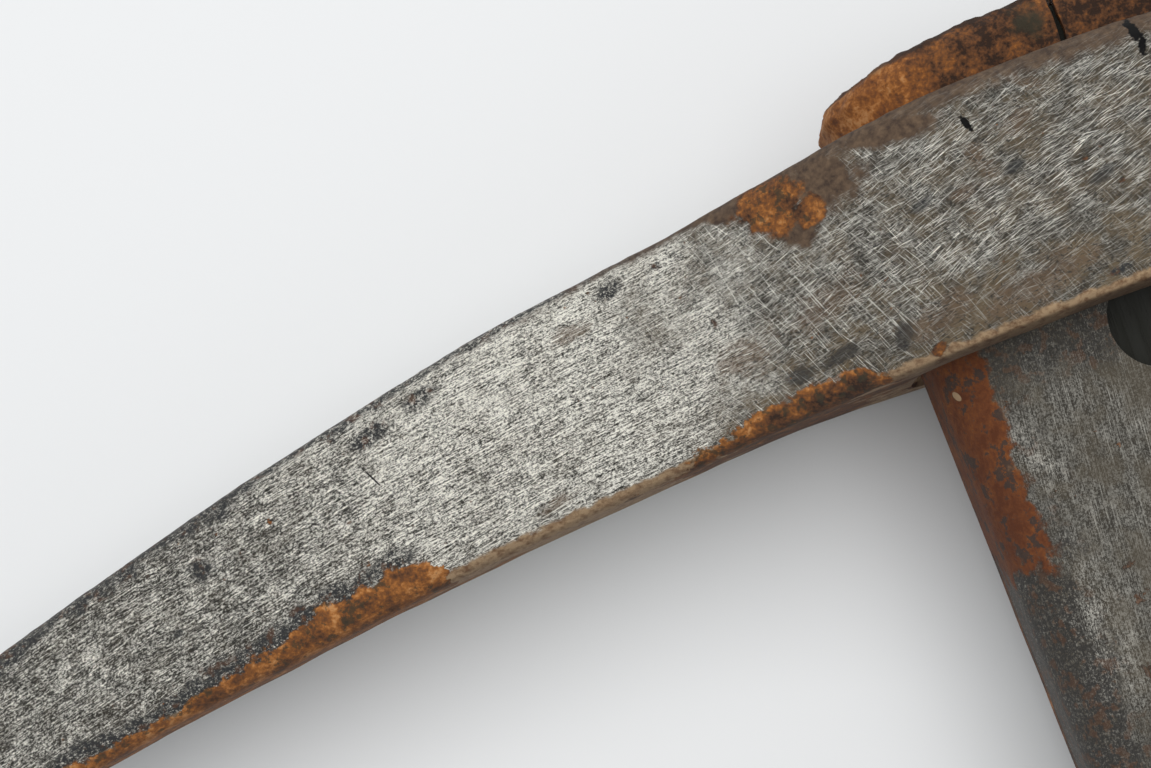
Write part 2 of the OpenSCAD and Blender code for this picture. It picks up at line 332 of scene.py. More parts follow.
class HeadForm:
    """Sections of the head, worked out from its sizes."""

    TAPER_POWER = 1.25  # how late the arms thin
    EDGE_SHARE = 0.35  # most of an arm's side that a rounded edge may take
    NOSE_SHARE = 0.45  # size of a tip's end face against the arm behind its nose
    FALL_BLEND = 20 * MM  # half length over which the falls of the two arms meet
    CHEEK_PROUD = 0.4 * MM  # stock ground off each cheek
    SHEET = 26 * MM  # the one thickness that scratches and marks are laid out for
    FLAT = 0.95  # share of the half thickness past which a face counts as flat
    SEEN = (-0.21, 0.02)  # stretch that the camera sees from near
    PLAN = ring_plan(7, 26, 42)

    def __init__(self, sizes, eye_end):
        self.sizes = sizes
        self.half_span = sizes.span / 2
        self.flare_end = eye_end + sizes.flare

    def middle(self, x):
        """Height of the centreline along the helve's direction."""
        blend = self.FALL_BLEND
        return -self.sizes.fall * (math.hypot(x, blend) - blend) - x * x / (2 * self.sizes.bend)

    def slope(self, x):
        return -self.sizes.fall * x / math.hypot(x, self.FALL_BLEND) - x / self.sizes.bend

    def cheek(self, x):
        return 1 - smooth(self.sizes.cheek_flat / 2, self.flare_end, abs(x))

    def taper(self, start, end, x):
        share = clamp((abs(x) - self.flare_end) / (self.half_span - self.flare_end))
        return lerp(start, end, share**self.TAPER_POWER)

    def nose(self, x):
        share = clamp((self.half_span - abs(x)) / self.sizes.nose)
        return lerp(self.NOSE_SHARE, 1.0, math.sin(share * math.pi / 2) ** 0.8)

    def depth(self, x):
        s = self.sizes
        swell = (s.depth - s.shoulder_depth) * self.cheek(x)
        return self.nose(x) * (self.taper(s.shoulder_depth, s.tip_depth, x) + swell)

    def thickness(self, x):
        s = self.sizes
        if x < 0:
            arm = self.nose(x) * self.taper(s.shoulder_thickness, s.point_thickness, x)
        else:
            arm = self.taper(s.shoulder_thickness, s.chisel_width, x)
        return arm + (2 * (AXIS_Z + self.CHEEK_PROUD) - s.shoulder_thickness) * self.cheek(x)

    def edge(self, x):
        wanted = lerp(self.sizes.arm_edge, self.sizes.cheek_edge, self.cheek(x))
        return min(wanted, self.EDGE_SHARE * self.depth(x), self.EDGE_SHARE * self.thickness(x))

    def dent(self, place, corner):
        """Unevenness left by the hammer and by rust: broad on the faces, finer on the long edges."""
        broad = rough(place, 24 * MM, 0.28 * MM) + rough(place, 6.5 * MM, 0.12 * MM, 3.1)
        fine = rough(place, 2.4 * MM, 0.26 * MM, 7.7) + rough(place, 1.1 * MM, 0.10 * MM, 5.2)
        return broad + corner * fine

    def section(self, x):
        """One section, square to the centreline."""
        slope = self.slope(x)
        square = 1 / math.hypot(1, slope)
        radius = self.edge(x)
        core_z = self.thickness(x) / 2 - radius
        core_y = self.depth(x) / 2 - radius
        middle = Vector((x, self.middle(x), AXIS_Z))
        across = Vector((-slope * square, square, 0.0))
        ring = ring_points(self.PLAN, core_z, core_y, radius)
        for (flat, out), (_, _, turn, _) in zip(ring, self.PLAN):
            place = middle + across * flat.y + UP * flat.x
            outward = across * out.y + UP * out.x
            place += outward * self.dent(place, abs(math.sin(2 * turn)))
            place.z = min(max(place.z, 0.0), 2 * AXIS_Z)
            yield place

    def stations(self):
        """Places of the sections, closest together where the arm is seen from near."""
        nose = self.sizes.nose
        near, far = self.SEEN
        runs = [
            (-self.half_span, nose - self.half_span, 8),
            (nose - self.half_span, near, 55),
            (near, far, 320),
            (far, self.flare_end, 45),
            (self.flare_end, self.half_span - nose, 130),
            (self.half_span - nose, self.half_span, 8),
        ]
        yield -self.half_span
        for start, end, count in runs:
            for step in range(1, count + 1):
                yield lerp(start, end, step / count)

    def forge_place(self, co):
        """A point's place along the arm and across from its centreline, and the half depth there."""
        return co.x, co.y - self.middle(co.x), self.depth(co.x) / 2

    def flat_place(self, co):
        """A point's place as if the head were flat and of one thickness, so that scratches run on."""
        share = 2 * (co.z - AXIS_Z) / self.thickness(co.x)
        return co.x, co.y, self.SHEET / 2 * max(-self.FLAT, min(self.FLAT, share))


# Form of the sleeve and of the wood inside it

class SleeveForm:
    """Outer wall of the sleeve, worked out from its sizes."""

    PLAN = ring_plan(34, 46, 16)
    CROWN_RUN = 13 * MM  # length below the crest over which the rim's crown fades

    def __init__(self, sizes, head_sizes):
        self.sizes = sizes
        self.rim_y = SLEEVE_BOX[1].y
        self.foot_y = SLEEVE_BOX[0].y
        self.core_x = sizes.width / 2 - sizes.corner
        self.core_z = sizes.thickness / 2 - sizes.corner
        self.eye_top = head_sizes.depth / 2
        self.seat_low = -self.eye_top - head_sizes.eye_chamfer / 2
        self.window_y = self.rim_y - sizes.window_drop

    def radius(self, y):
        """Corner radius of the outside at height y."""
        seat = (self.rim_y - max(y, self.seat_low)) * self.sizes.seat_taper
        return self.sizes.corner - seat - max(0.0, self.seat_low - y) * self.sizes.shank_taper

    def drop(self, x, y):
        """How far the crown of the rim falls at x, for a point that would lie at height y."""
        crown = self.sizes.crown
        fall = crown - math.sqrt(crown * crown - x * x)
        return fall * smooth(self.rim_y - self.CROWN_RUN, self.rim_y, y)

    def ring(self, y, radius, plan=None):
        for flat, out in ring_points(plan or self.PLAN, self.core_x, self.core_z, radius):
            place = Vector((flat.x, y - self.drop(flat.x, y), AXIS_Z + flat.y))
            yield place, Vector((out.x, 0.0, out.y))


def eye_cutter(head, sleeve):
    """The tapered eye with a chamfer at each mouth, a running gap wider than the sleeve."""
    top = sleeve.eye_top + PAST
    deep = top + 3 * MM
    low, high = (sleeve.radius(y) + head.eye_gap for y in (-sleeve.eye_top, sleeve.eye_top))
    mouth = head.eye_chamfer + PAST
    profile = [(-deep, low + mouth), (-top, low + mouth), (mouth - top, low),
               (top - mouth, high), (top, high + mouth)]
    plan = ring_plan(16, 10, 4)
    bm = loft(
        [Vector((p.x, y, AXIS_Z + p.y)) for p, _ in ring_points(plan, sleeve.core_x, sleeve.core_z, r)]
        for y, r in profile
    )
    close_ends(bm)
    return to_object("eye_cutter", bm)


def block_cutter(name, width, low_y, high_y, wobble):
    """A thin upright block on the seam, with slightly uneven sides."""
    bm = bmesh.new()
    bmesh.ops.create_cube(bm, size=1.0)
    bmesh.ops.subdivide_edges(
        bm, edges=[e for e in bm.edges if abs((e.verts[0].co - e.verts[1].co).y) > 0.5], cuts=40
    )
    for vert in bm.verts:
        x, y, z = vert.co
        place = Vector((x * width, lerp(low_y, high_y, y + 0.5), lerp(AXIS_Z, 2 * AXIS_Z, z + 0.5)))
        flat = Vector((place.x, place.y, 0.0))
        place.x += rough(flat, 3 * MM, wobble) + rough(flat, 0.9 * MM, 0.4 * wobble)
        vert.co = place
    return to_object(name, bm)


def drill_cutter(name, diameter, y):
    """An upright drill on the seam, from the helve's axis up."""
    bm = bmesh.new()
    bmesh.ops.create_cone(
        bm, cap_ends=True, segments=72, radius1=diameter / 2, radius2=diameter / 2, depth=AXIS_Z,
        matrix=Matrix.Translation((0.0, y, 1.5 * AXIS_Z)),
    )
    return to_object(name, bm)


def wall_profile(sleeve, sizes):
    """The sheet in section, from its foot up the outside, over the rim and down the inside."""
    foot, rim = sleeve.foot_y, sleeve.rim_y
    roll, sheet = sizes.roll, sizes.sheet
    shelf = rim - roll
    for step in range(90):
        y = lerp(foot, shelf, step / 90)
        yield y, sleeve.radius(y)
    for step in range(13):
        turn = step / 12 * math.pi / 2
        yield shelf + roll * math.sin(turn), sizes.corner - roll * (1 - math.cos(turn))
    lip = sizes.corner - sizes.lip
    for step in range(1, 8):
        yield rim, lerp(sizes.corner - roll, lip, step / 7)
    yield rim - sheet, lip
    for step in range(7):
        turn = (1 - step / 6) * math.pi / 2
        inner = roll - sheet
        yield shelf + inner * math.sin(turn), sizes.corner - roll + inner * math.cos(turn)
    for step in range(1, 41):
        y = lerp(shelf, foot, step / 40)
        yield y, sleeve.radius(y) - sheet


def wrapped_sleeve(context):
    scene = context.scene
    sizes = scene.pick_sleeve
    sleeve = SleeveForm(sizes, scene.pick_head)
    roll_top = sleeve.rim_y - sizes.roll

    def rings():
        for y, radius in wall_profile(sleeve, sizes):
            under_rim = y < sleeve.rim_y - 0.9 * sizes.sheet
            inside = under_rim and radius < sleeve.radius(y) - 0.6 * sizes.sheet
            ring = []
            for place, outward in sleeve.ring(y, radius):
                if not inside:
                    rim = smooth(sleeve.eye_top, sleeve.eye_top + 3 * MM, place.y)
                    up = Vector((0.0, smooth(roll_top, sleeve.rim_y, y), 0.0))
                    flakes = rough(place, 3.2 * MM, 0.42 * MM, 2.0)
                    flakes += rough(place, 1.1 * MM, 0.34 * MM, 4.0)
                    place += (outward + up).normalized() * flakes * rim
                    place += outward * rough(place, 9 * MM, 0.08 * MM, 9.0) * (1 - rim)
                ring.append(place)
            yield ring

    bm = loft(rings())
    close_wall(bm)
    piece = to_object("steel_sleeve", bm)
    window, top, bottom = sleeve.window_y, sleeve.rim_y + PAST, sleeve.foot_y - PAST
    carve(
        piece,
        drill_cutter("window_cutter", sizes.window, window),
        block_cutter("upper_seam", sizes.upper_seam, window, top, 0.3 * MM),
        block_cutter("lower_seam", sizes.lower_seam, bottom, window, 0.15 * MM),
    )
    paint = SleevePaint(scene.pick_finish, sleeve).cover()
    hand_over(piece, paint, "helve", "ferrule")


def forged_head(context):
    scene = context.scene
    sleeve = SleeveForm(scene.pick_sleeve, scene.pick_head)
    form = HeadForm(scene.pick_head, sleeve.core_x + sleeve.radius(sleeve.eye_top))
    bm = loft(form.section(x) for x in form.stations())
    close_ends(bm)
    piece = to_object("forged_head", bm)
    carve(piece, eye_cutter(scene.pick_head, sleeve))
    mark(piece, "forge", form.forge_place)
    mark(piece, "flat", form.flat_place)
    hand_over(piece, HeadPaint(scene.pick_finish).cover(), "head", "pick_head")


def ash_helve(context):
    """The wood: a fitted top inside the sleeve, a shoulder, an oval grip and a swell at the butt."""
    scene = context.scene
    sizes = scene.pick_helve
    sleeve = SleeveForm(scene.pick_sleeve, scene.pick_head)
    plan = ring_plan(16, 12, 6)
    inset = scene.pick_sleeve.sheet + sizes.gap
    top = WOOD_BOX[1].y
    middle = Vector((0.0, top - 0.4 * MM, AXIS_Z))
    shoulder = sleeve.foot_y - sizes.gap
    grip_top = sleeve.foot_y - sizes.neck
    butt = WOOD_BOX[0].y
    swell_top = butt + sizes.butt_run
    rounding = sizes.butt_thickness / 4

    def plug(y, shrink):
        radius = min(sleeve.radius(y), scene.pick_sleeve.corner) - inset
        return [place - outward * shrink for place, outward in sleeve.ring(y, radius, plan)]

    def shaft(y):
        into_neck = smooth(0.0, sizes.neck, sleeve.foot_y - y)
        into_swell = smooth(0.0, sizes.butt_run - rounding, swell_top - y)
        up = clamp((butt + rounding - y) / rounding)
        drawn = rounding * (1 - math.sqrt(1 - min(up, 0.999) ** 2))
        half_x = lerp(sizes.grip_width, sizes.butt_width, into_swell) / 2 - drawn
        half_z = lerp(sizes.grip_thickness, sizes.butt_thickness, into_swell) / 2 - drawn
        ring = []
        for place, outward in sleeve.ring(y, sleeve.radius(sleeve.foot_y), plan):
            oval = Vector((half_x * outward.x, y, AXIS_Z + half_z * outward.z))
            place = place.lerp(oval, into_neck)
            wear = rough(place, 45 * MM, 0.45 * MM, 1.0) + rough(place * 0.4, 3 * MM, 0.12 * MM, 6.0)
            ring.append(place + outward * (wear - 0.15 * MM) * smooth(0.0, 4 * MM, shoulder - y))
        return ring

    def rings():
        for share in (0.97, 0.9, 0.75, 0.5, 0.25, 0.08, 0.02, 0.0):
            yield [place.lerp(middle, share) for place in plug(middle.y, 0.5 * MM)]
        for step in range(13):
            yield plug(lerp(top - 1.2 * MM, shoulder, step / 12), 0.0)
        for start, end, count in (
            (shoulder, shoulder - 3 * MM, 4), (shoulder - 3 * MM, grip_top, 60),
            (grip_top, swell_top, 110), (swell_top, butt + rounding, 50),
        ):
            for step in range(0 if start == shoulder else 1, count + 1):
                yield shaft(lerp(start, end, step / count))
        for step in range(1, 13):
            yield shaft(butt + rounding * (1 - math.sin(step / 12 * math.pi / 2)))

    bm = loft(rings())
    close_ends(bm)
    piece = to_object("ash_helve", bm)
    hand_over(piece, ash_wood(scene.pick_finish, shoulder), "helve", "helve", 50.0)


def sleeve_rivets(context):
    """Two rivets through sleeve and wood, with a low hammered head on each face."""
    scene = context.scene
    sizes = scene.pick_rivets
    sleeve = SleeveForm(scene.pick_sleeve, scene.pick_head)
    rivet_y = sleeve.foot_y + sizes.rise
    face = sleeve.core_z + sleeve.radius(rivet_y) + scene.pick_sleeve.shank_taper * sizes.head / 2
    top = face + sizes.height
    steel = rivet_steel(scene.pick_finish)
    half_head = sizes.head / 2
    dome = (half_head**2 + sizes.height**2) / (2 * sizes.height)
    for side, node in ((-1, "ferrule_rivet_left"), (1, "ferrule_rivet_right")):
        bm = bmesh.new()
        points = [(0.0, -top)]
        rim = math.asin(half_head / dome)
        turns = [rim * step / 8 for step in range(1, 9)]
        dome_line = [(dome * math.sin(turn), top - dome * (1 - math.cos(turn))) for turn in turns]
        points += [(r, -z) for r, z in dome_line]
        points += [(sizes.shank / 2, -face), (sizes.shank / 2, face)]
        points += list(reversed(dome_line)) + [(0.0, top)]
        verts = [bm.verts.new((r, 0.0, z)) for r, z in points]
        for a, b in zip(verts, verts[1:]):
            bm.edges.new((a, b))
        bmesh.ops.spin(
            bm, geom=bm.verts[:] + bm.edges[:], cent=(0, 0, 0), axis=(0, 0, 1),
            angle=2 * math.pi, steps=40, use_merge=True,
        )
        bmesh.ops.remove_doubles(bm, verts=bm.verts, dist=1e-6)
        centre = Vector((side * sizes.spread / 2, rivet_y, AXIS_Z))
        for vert in bm.verts:
            place = vert.co + centre
            out = Vector((vert.co.x, vert.co.y, 0.0))
            if abs(vert.co.z) > face - 0.5 * MM and out.length > 0.1 * MM:
                place += out.normalized() * (rough(place, 3 * MM, 0.35 * MM, side) - 0.2 * MM)
            vert.co = place
        piece = to_object("sleeve_rivet_left" if side < 0 else "sleeve_rivet_right", bm)
        hand_over(piece, steel, "helve", node)


# Wiring of the materials

class Wiring:
    """Adds nodes to one tree and joins them up."""

    REACH = 320  # greatest distance on a drawn curve, in millimetres
    WIDEST = 10  # greatest width on it, in millimetres

    def __init__(self, tree):
        self.tree = tree

    def join(self, value, socket):
        if isinstance(value, bpy.types.NodeSocket):
            self.tree.links.new(value, socket)
        elif socket.type == "RGBA":
            socket.default_value = (*value, 1.0)
        else:
            socket.default_value = value

    def add(self, kind, wires=None, **settings):
        node = self.tree.nodes.new("ShaderNode" + kind)
        for name, value in settings.items():
            setattr(node, name, value)
        for place, value in (wires or {}).items():
            self.join(value, node.inputs[place])
        return node

    def math(self, operation, *values):
        return self.add("Math", dict(enumerate(values)), operation=operation).outputs[0]

    def plus(self, a, b):
        return self.math("ADD", a, b)

    def minus(self, a, b):
        return self.math("SUBTRACT", a, b)

    def times(self, a, b):
        return self.math("MULTIPLY", a, b)

    def scaled(self, value, factor, base):
        return self.math("MULTIPLY_ADD", value, factor, base)

    def rest(self, share):
        return self.minus(1.0, share)

    def most(self, first, *others):
        for other in others:
            first = self.math("MAXIMUM", first, other)
        return first

    def clamped(self, value):
        return self.add("Clamp", {0: value}).outputs[0]

    def vector(self, operation, *values):
        node = self.add("VectorMath", dict(enumerate(values)), operation=operation)
        return node.outputs["Value" if operation == "LENGTH" else "Vector"]

    def parts(self, vector):
        return self.add("SeparateXYZ", {0: vector}).outputs

    def attribute(self, name):
        return self.add("Attribute", attribute_name=name).outputs["Vector"]

    def turned(self, vector, angle):
        """The vector turned back about Z by an angle."""
        wires = {"Vector": vector, "Angle": self.times(angle, -1.0)}
        return self.add("VectorRotate", wires, rotation_type="Z_AXIS").outputs[0]

    def fade(self, value, start, end, low=0.0, high=1.0):
        """Low before start, high after end, and an S-curve between."""
        wires = {"Value": value, "From Min": start, "From Max": end, "To Min": low, "To Max": high}
        return self.add("MapRange", wires, interpolation_type="SMOOTHSTEP").outputs[0]

    def spread(self, value, gain, level):
        """Stretches a noise that lies about 0.5, and moves its middle to level."""
        return self.clamped(self.scaled(self.minus(value, 0.5), gain, level))

    def blend(self, share, under, over):
        node = self.add("Mix", data_type="RGBA")
        for place, value in ((0, share), (6, under), (7, over)):
            self.join(value, node.inputs[place])
        return node.outputs[2]

    def slide(self, share, low, high):
        wires = {0: share, 2: low, 3: high}
        return self.add("Mix", wires, data_type="FLOAT").outputs[0]

    def cloud(self, place, size, detail=2.0, roughness=0.5):
        """Noise with features of about the given size."""
        wires = {"Vector": place, "Scale": 1 / size, "Detail": detail, "Roughness": roughness}
        return self.add("TexNoise", wires).outputs[0]

    def patches(self, place, size_mm, detail, roughness, start, end, low=0.0, high=1.0):
        """Patches of noise: low where it is under start, high where it is over end."""
        return self.fade(self.cloud(place, size_mm * MM, detail, roughness), start, end, low, high)

    def uneven(self, place, size, detail, roughness):
        """Noise about 0."""
        return self.minus(self.cloud(place, size, detail, roughness), 0.5)

    def drawn(self, away, widths):
        """Reads a width off a drawn curve of (distance, width) in millimetres."""
        node = self.add("FloatCurve", {"Value": self.math("DIVIDE", away, self.REACH * MM)})
        line = node.mapping.curves[0]
        while len(line.points) < len(widths):
            line.points.new(0.5, 0.5)
        for point, (distance, width) in zip(line.points, widths):
            point.location = (distance / self.REACH, width / self.WIDEST)
            point.handle_type = "AUTO_CLAMPED"
        node.mapping.update()
        return self.times(node.outputs[0], self.WIDEST * MM)

    def use(self, group, **wires):
        node = self.add("Group", node_tree=group)
        for place, value in wires.items():
            self.join(value, node.inputs[place])
        return node.outputs


def once(make):
    """Makes a node group when it is first used, and hands out the same one after that."""

    def shared(*settings):
        name = make.__name__.replace("_", " ")
        return bpy.data.node_groups.get(name) or make(name, *settings)

    return shared


def new_group(name, inputs, outputs):
    """An empty node group: its tree's wiring, its start and its end."""
    tree = bpy.data.node_groups.new(name, "ShaderNodeTree")
    kinds = {"vector": "NodeSocketVector", "value": "NodeSocketFloat", "colour": "NodeSocketColor"}
    for socket, kind in inputs.items():
        tree.interface.new_socket(name=socket, in_out="INPUT", socket_type=kinds[kind])
    for socket, kind in outputs.items():
        tree.interface.new_socket(name=socket, in_out="OUTPUT", socket_type=kinds[kind])
    start = tree.nodes.new("NodeGroupInput").outputs
    end = tree.nodes.new("NodeGroupOutput").inputs
    return Wiring(tree), start, end


@once
def drawn_grain(name):
    """Noise drawn out along a line that is turned about Z from X."""
    inputs = {"Place": "vector", "Size": "value", "Stretch": "value", "Turn": "value",
              "Detail": "value", "Roughness": "value"}
    w, start, end = new_group(name, inputs, {"Value": "value"})
    across = w.math("DIVIDE", 1.0, start["Size"])
    along = w.math("DIVIDE", across, start["Stretch"])
    scale = w.add("CombineXYZ", {0: along, 1: across, 2: across}).outputs[0]
    place = w.vector("MULTIPLY", w.turned(start["Place"], start["Turn"]), scale)
    wires = {"Vector": place, "Scale": 1.0, "Detail": start["Detail"], "Roughness": start["Roughness"]}
    w.join(w.add("TexNoise", wires).outputs[0], end["Value"])
    return w.tree


@once
def blot(name):
    """Mask of one ragged oval mark, seen along Z."""
    inputs = {"Place": "vector", "Centre": "vector", "Size": "vector", "Turn": "value",
              "Rag": "value", "Softness": "value"}
    w, start, end = new_group(name, inputs, {"Mask": "value"})
    place = w.turned(w.vector("SUBTRACT", start["Place"], start["Centre"]), start["Turn"])
    flat = w.vector("MULTIPLY", place, (1.0, 1.0, 0.0))
    distance = w.plus(w.vector("LENGTH", w.vector("DIVIDE", flat, start["Size"])), start["Rag"])
    near = w.minus(1.0, start["Softness"])
    far = w.plus(1.0, start["Softness"])
    w.join(w.fade(distance, near, far, 1.0, 0.0), end["Mask"])
    return w.tree


@once
def ground_steel(name):
    """Lightness of ground steel: sharp grains that are partly painted glints, fine brushing and loose
    clusters of dark.
    """
    inputs = {"Place": "vector", "Turn": "value", "Stretch": "value", "Level": "value",
              "Grain": "value", "Brush": "value", "Cluster": "value"}
    w, start, end = new_group(name, inputs, {"Light": "value"})
    shared = {"Place": start["Place"], "Turn": start["Turn"]}

    def grain(size, stretch, detail, roughness):
        wires = {"Size": size * MM, "Stretch": stretch, "Detail": detail, "Roughness": roughness}
        return w.use(drawn_grain(), **wires, **shared)[0]

    grains = w.fade(grain(0.30, start["Stretch"], 2.0, 0.9), 0.43, 0.57, -0.5, 0.5)
    brushed = w.fade(grain(0.15, 26.0, 1.0, 0.5), 0.40, 0.60, -0.5, 0.5)
    clusters = w.minus(grain(1.7, 1.5, 4.0, 0.75), 0.5)
    light = w.scaled(grains, start["Grain"], start["Level"])
    light = w.scaled(brushed, start["Brush"], light)
    light = w.scaled(clusters, start["Cluster"], light)
    w.join(w.clamped(light), end["Light"])
    return w.tree


@once
def scored(name):
    """Mask of many thin scratches that run nearly straight in one direction."""
    inputs = {"Place": "vector", "Turn": "value", "Size": "value", "Stretch": "value", "Start": "value"}
    w, start, end = new_group(name, inputs, {"Mask": "value"})
    noise_wires = {"Vector": start["Place"], "Scale": 1 / (25 * MM), "Detail": 0.0}
    sway = w.vector("MULTIPLY", w.add("TexNoise", noise_wires).outputs[1], (1.2 * MM, 1.2 * MM, 0.0))
    swayed = w.vector("ADD", start["Place"], sway)
    lines = w.use(
        drawn_grain(), Place=swayed, Size=start["Size"], Stretch=start["Stretch"], Turn=start["Turn"],
        Detail=1.0, Roughness=0.5,
    )[0]
    w.join(w.fade(lines, start["Start"], w.plus(start["Start"], 0.12)), end["Mask"])
    return w.tree


@once
def pitted(name):
    """Mask of small dark pits and short strokes, gathered in loose patches."""
    w, start, end = new_group(name, {"Place": "vector", "Amount": "value"}, {"Mask": "value"})
    shared = {"Place": start["Place"], "Turn": 0.0, "Detail": 3.0, "Roughness": 0.65}
    patches = w.minus(w.cloud(start["Place"], 7 * MM, 3.0, 0.6), 0.40)
    level = w.minus(w.minus(0.70, w.times(patches, start["Amount"])), start["Amount"])
    round_pits = w.use(drawn_grain(), Size=0.38 * MM, Stretch=1.4, **shared)[0]
    strokes = w.use(drawn_grain(), Size=0.22 * MM, Stretch=5.0, **shared)[0]
    w.join(w.fade(w.minus(w.most(round_pits, strokes), level), -0.005, 0.02), end["Mask"])
    return w.tree


@once
def rust(name, finish):
    """Colour and height of rust. Heat moves it from old and dark to fresh and orange."""
    inputs = {"Place": "vector", "Heat": "value"}
    w, start, end = new_group(name, inputs, {"Color": "colour", "Height": "value"})
    large = w.cloud(start["Place"], 3.6 * MM, 4.0, 0.6)
    small = w.cloud(start["Place"], 0.8 * MM, 4.0, 0.65)
    both = w.slide(0.45, large, small)
    ramp = w.add("ValToRGB", {0: w.plus(w.spread(both, 3.0, 0.44), start["Heat"])})
    stops = [
        (0.12, finish.rust_deep), (0.40, finish.rust_brown), (0.62, finish.rust_warm),
        (0.80, finish.rust_orange), (1.0, finish.rust_dry),
    ]
    elements = ramp.color_ramp.elements
    while len(elements) < len(stops):
        elements.new(0.5)
    for element, (position, tint) in zip(elements, stops):
        element.position = position
        element.color = (*tint, 1.0)
    w.join(ramp.outputs[0], end["Color"])
    w.join(both, end["Height"])
    return w.tree


SHEEN = 0.25  # specular level of rust, film and wood


def new_material(name):
    material = bpy.data.materials.new(name)
    material.use_nodes = True
    return material, Wiring(material.node_tree), material.node_tree.nodes["Principled BSDF"].inputs


def dress(w, surface, tint, metal, roughness, height, strength, depth):
    """Feeds a surface its colour, metal, roughness and a fine relief of the given depth."""
    relief = w.add("Bump", {"Strength": strength, "Distance": depth, "Height": height})
    w.join(tint, surface["Base Color"])
    w.join(metal, surface["Metallic"])
    w.join(roughness, surface["Roughness"])
    w.join(SHEEN, surface["Specular IOR Level"])
    w.join(relief.outputs[0], surface["Normal"])


def flecked(w, steel, scale, flecks, brown_bits, brown):
    """Scale with flecks of the steel below it and bits of brown rust on it."""
    return w.blend(brown_bits, w.blend(flecks, scale, steel), brown)


def marked(w, place, marks, rag, softness=0.12):
    """Mask that is 1 inside any of the marks."""
    masks = []
    for x, y, half_length, half_width, turn in marks:
        masks.append(w.use(
            blot(), Place=place, Centre=(x * MM, y * MM, 0.0), Turn=math.radians(turn),
            Size=(half_length * MM, half_width * MM, 1.0), Rag=rag, Softness=softness,
        )["Mask"])
    return w.most(*masks)


def within(w, gap, width, nibble, softness=0.35 * MM):
    """Mask that is 1 where a gap is less than a width, with a ragged border."""
    return w.fade(w.plus(w.minus(gap, width), nibble), -softness, softness, 1.0, 0.0)


# Marks on the front of the visible arm: place and half sizes in millimetres, turn in degrees
RUST_MARKS = [
    (-50.8, 11.6, 5.2, 4.8, -12), (-45.5, 8.8, 2.6, 2.4, 30), (-34.4, -18.4, 1.3, 0.9, 20),
]
HOT_MARKS = [
    (-51.4, 11.0, 3.4, 3.2, 0), (-45.0, 8.4, 1.8, 1.4, 40), (-34.4, -18.4, 1.3, 0.9, 20),
]
DULL_MARKS = [
    (-43.0, 12.2, 7.4, 4.6, -14), (-47.8, 6.4, 3.0, 2.6, 0), (-31.5, 15.6, 9.0, 2.4, -8),
    (-58.0, 13.6, 4.0, 1.6, -4),
]
DARK_MARKS = [
    (-79.1, 8.5, 2.4, 1.5, 12), (-153.5, -11.8, 2.3, 1.9, 0), (-70.4, 9.6, 1.1, 0.6, 10),
    (-5.3, -16.4, 2.0, 0.6, 12), (-112.7, -25.4, 2.2, 0.8, 12), (-112.0, 2.2, 3.4, 1.5, 12),
    (-121.0, -0.4, 3.6, 1.4, 14), (-64.8, -2.2, 0.5, 0.8, 0), (-160.0, -20.0, 0.9, 0.6, 0),
]
PIT_SHADE_MARKS = [
    (-19.6, 12.2, 0.6, 1.2, 24), (8.8, 17.0, 0.8, 2.2, 10), (9.4, 14.8, 0.6, 1.6, -12),
    (-123.2, -7.0, 2.0, 0.12, -62),
]
BLUE_MARKS = [
    (-38.5, -14.6, 2.2, 1.4, 60), (-48.0, -14.0, 3.2, 1.1, 10), (-55.0, -14.5, 2.2, 1.4, 10),
    (-3.0, -2.0, 2.4, 1.0, 20), (-30.0, 3.0, 2.0, 0.8, 16), (-15.0, 3.5, 1.8, 0.8, 16),
]
BROWN_MARKS = [
    (-8.2, 14.6, 1.2, 2.4, 60), (-19.5, 6.8, 1.4, 3.0, 20), (-23.5, 2.2, 2.4, 1.2, 10),
    (-86.0, 4.0, 3.4, 1.2, 10), (-47.0, -5.5, 5.5, 2.6, 12), (-33.0, -13.5, 6.0, 2.4, 14),
    (-18.0, -14.5, 9.0, 2.8, 14), (-62.0, -9.0, 4.0, 2.6, 14), (-12.0, 10.0, 3.0, 1.4, 14),
    (-97.0, -20.4, 3.0, 1.0, 10),
]
GOUGE_MARKS = [
    (-61.0, 2.9, 8.0, 0.08, -79), (-49.5, -3.2, 7.0, 0.08, -68), (-40.1, -10.7, 7.4, 0.08, -65),
    (-44.0, -5.6, 4.6, 0.07, -67), (-35.6, -8.5, 5.2, 0.07, -63), (-55.2, 1.0, 4.8, 0.07, -74),
    (-30.0, -5.0, 3.6, 0.07, -60), (-37.6, -11.6, 4.0, 0.07, -62), (-12.5, 15.0, 4.4, 0.09, 31),
    (-22.0, 11.5, 5.0, 0.08, 8), (-1.5, 9.5, 6.0, 0.08, 26),
]
SCRATCH_HIGHLIGHT_MARKS = [(-12.0, -1.2, 22.0, 4.4, 14), (-26.0, 9.0, 6.0, 3.0, 40), (4.0, 8.0, 10.0, 4.0, 16)]

# Widths in millimetres of what runs along the edges of both arms, at distances from the eye's centre
RUST_WIDTH = [
    (0, 0.0), (38, 0.0), (42, 1.2), (47, 3.6), (56, 4.2), (64, 3.4), (72, 2.0), (76, 0.4), (80, 0.0),
    (114, 0.0), (117, 2.6), (121, 5.0), (130, 5.2), (141, 4.2), (150, 3.4), (163, 2.4), (178, 1.8),
    (196, 2.4), (240, 3.0), (300, 2.0), (320, 1.0),
]
SCALE_WIDTH = [
    (0, 0.2), (90, 0.3), (98, 0.6), (105, 0.5), (112, 1.3), (122, 1.9), (132, 1.2), (150, 2.0),
    (165, 1.6), (180, 2.2), (196, 3.0), (240, 4.0), (320, 5.0),
]


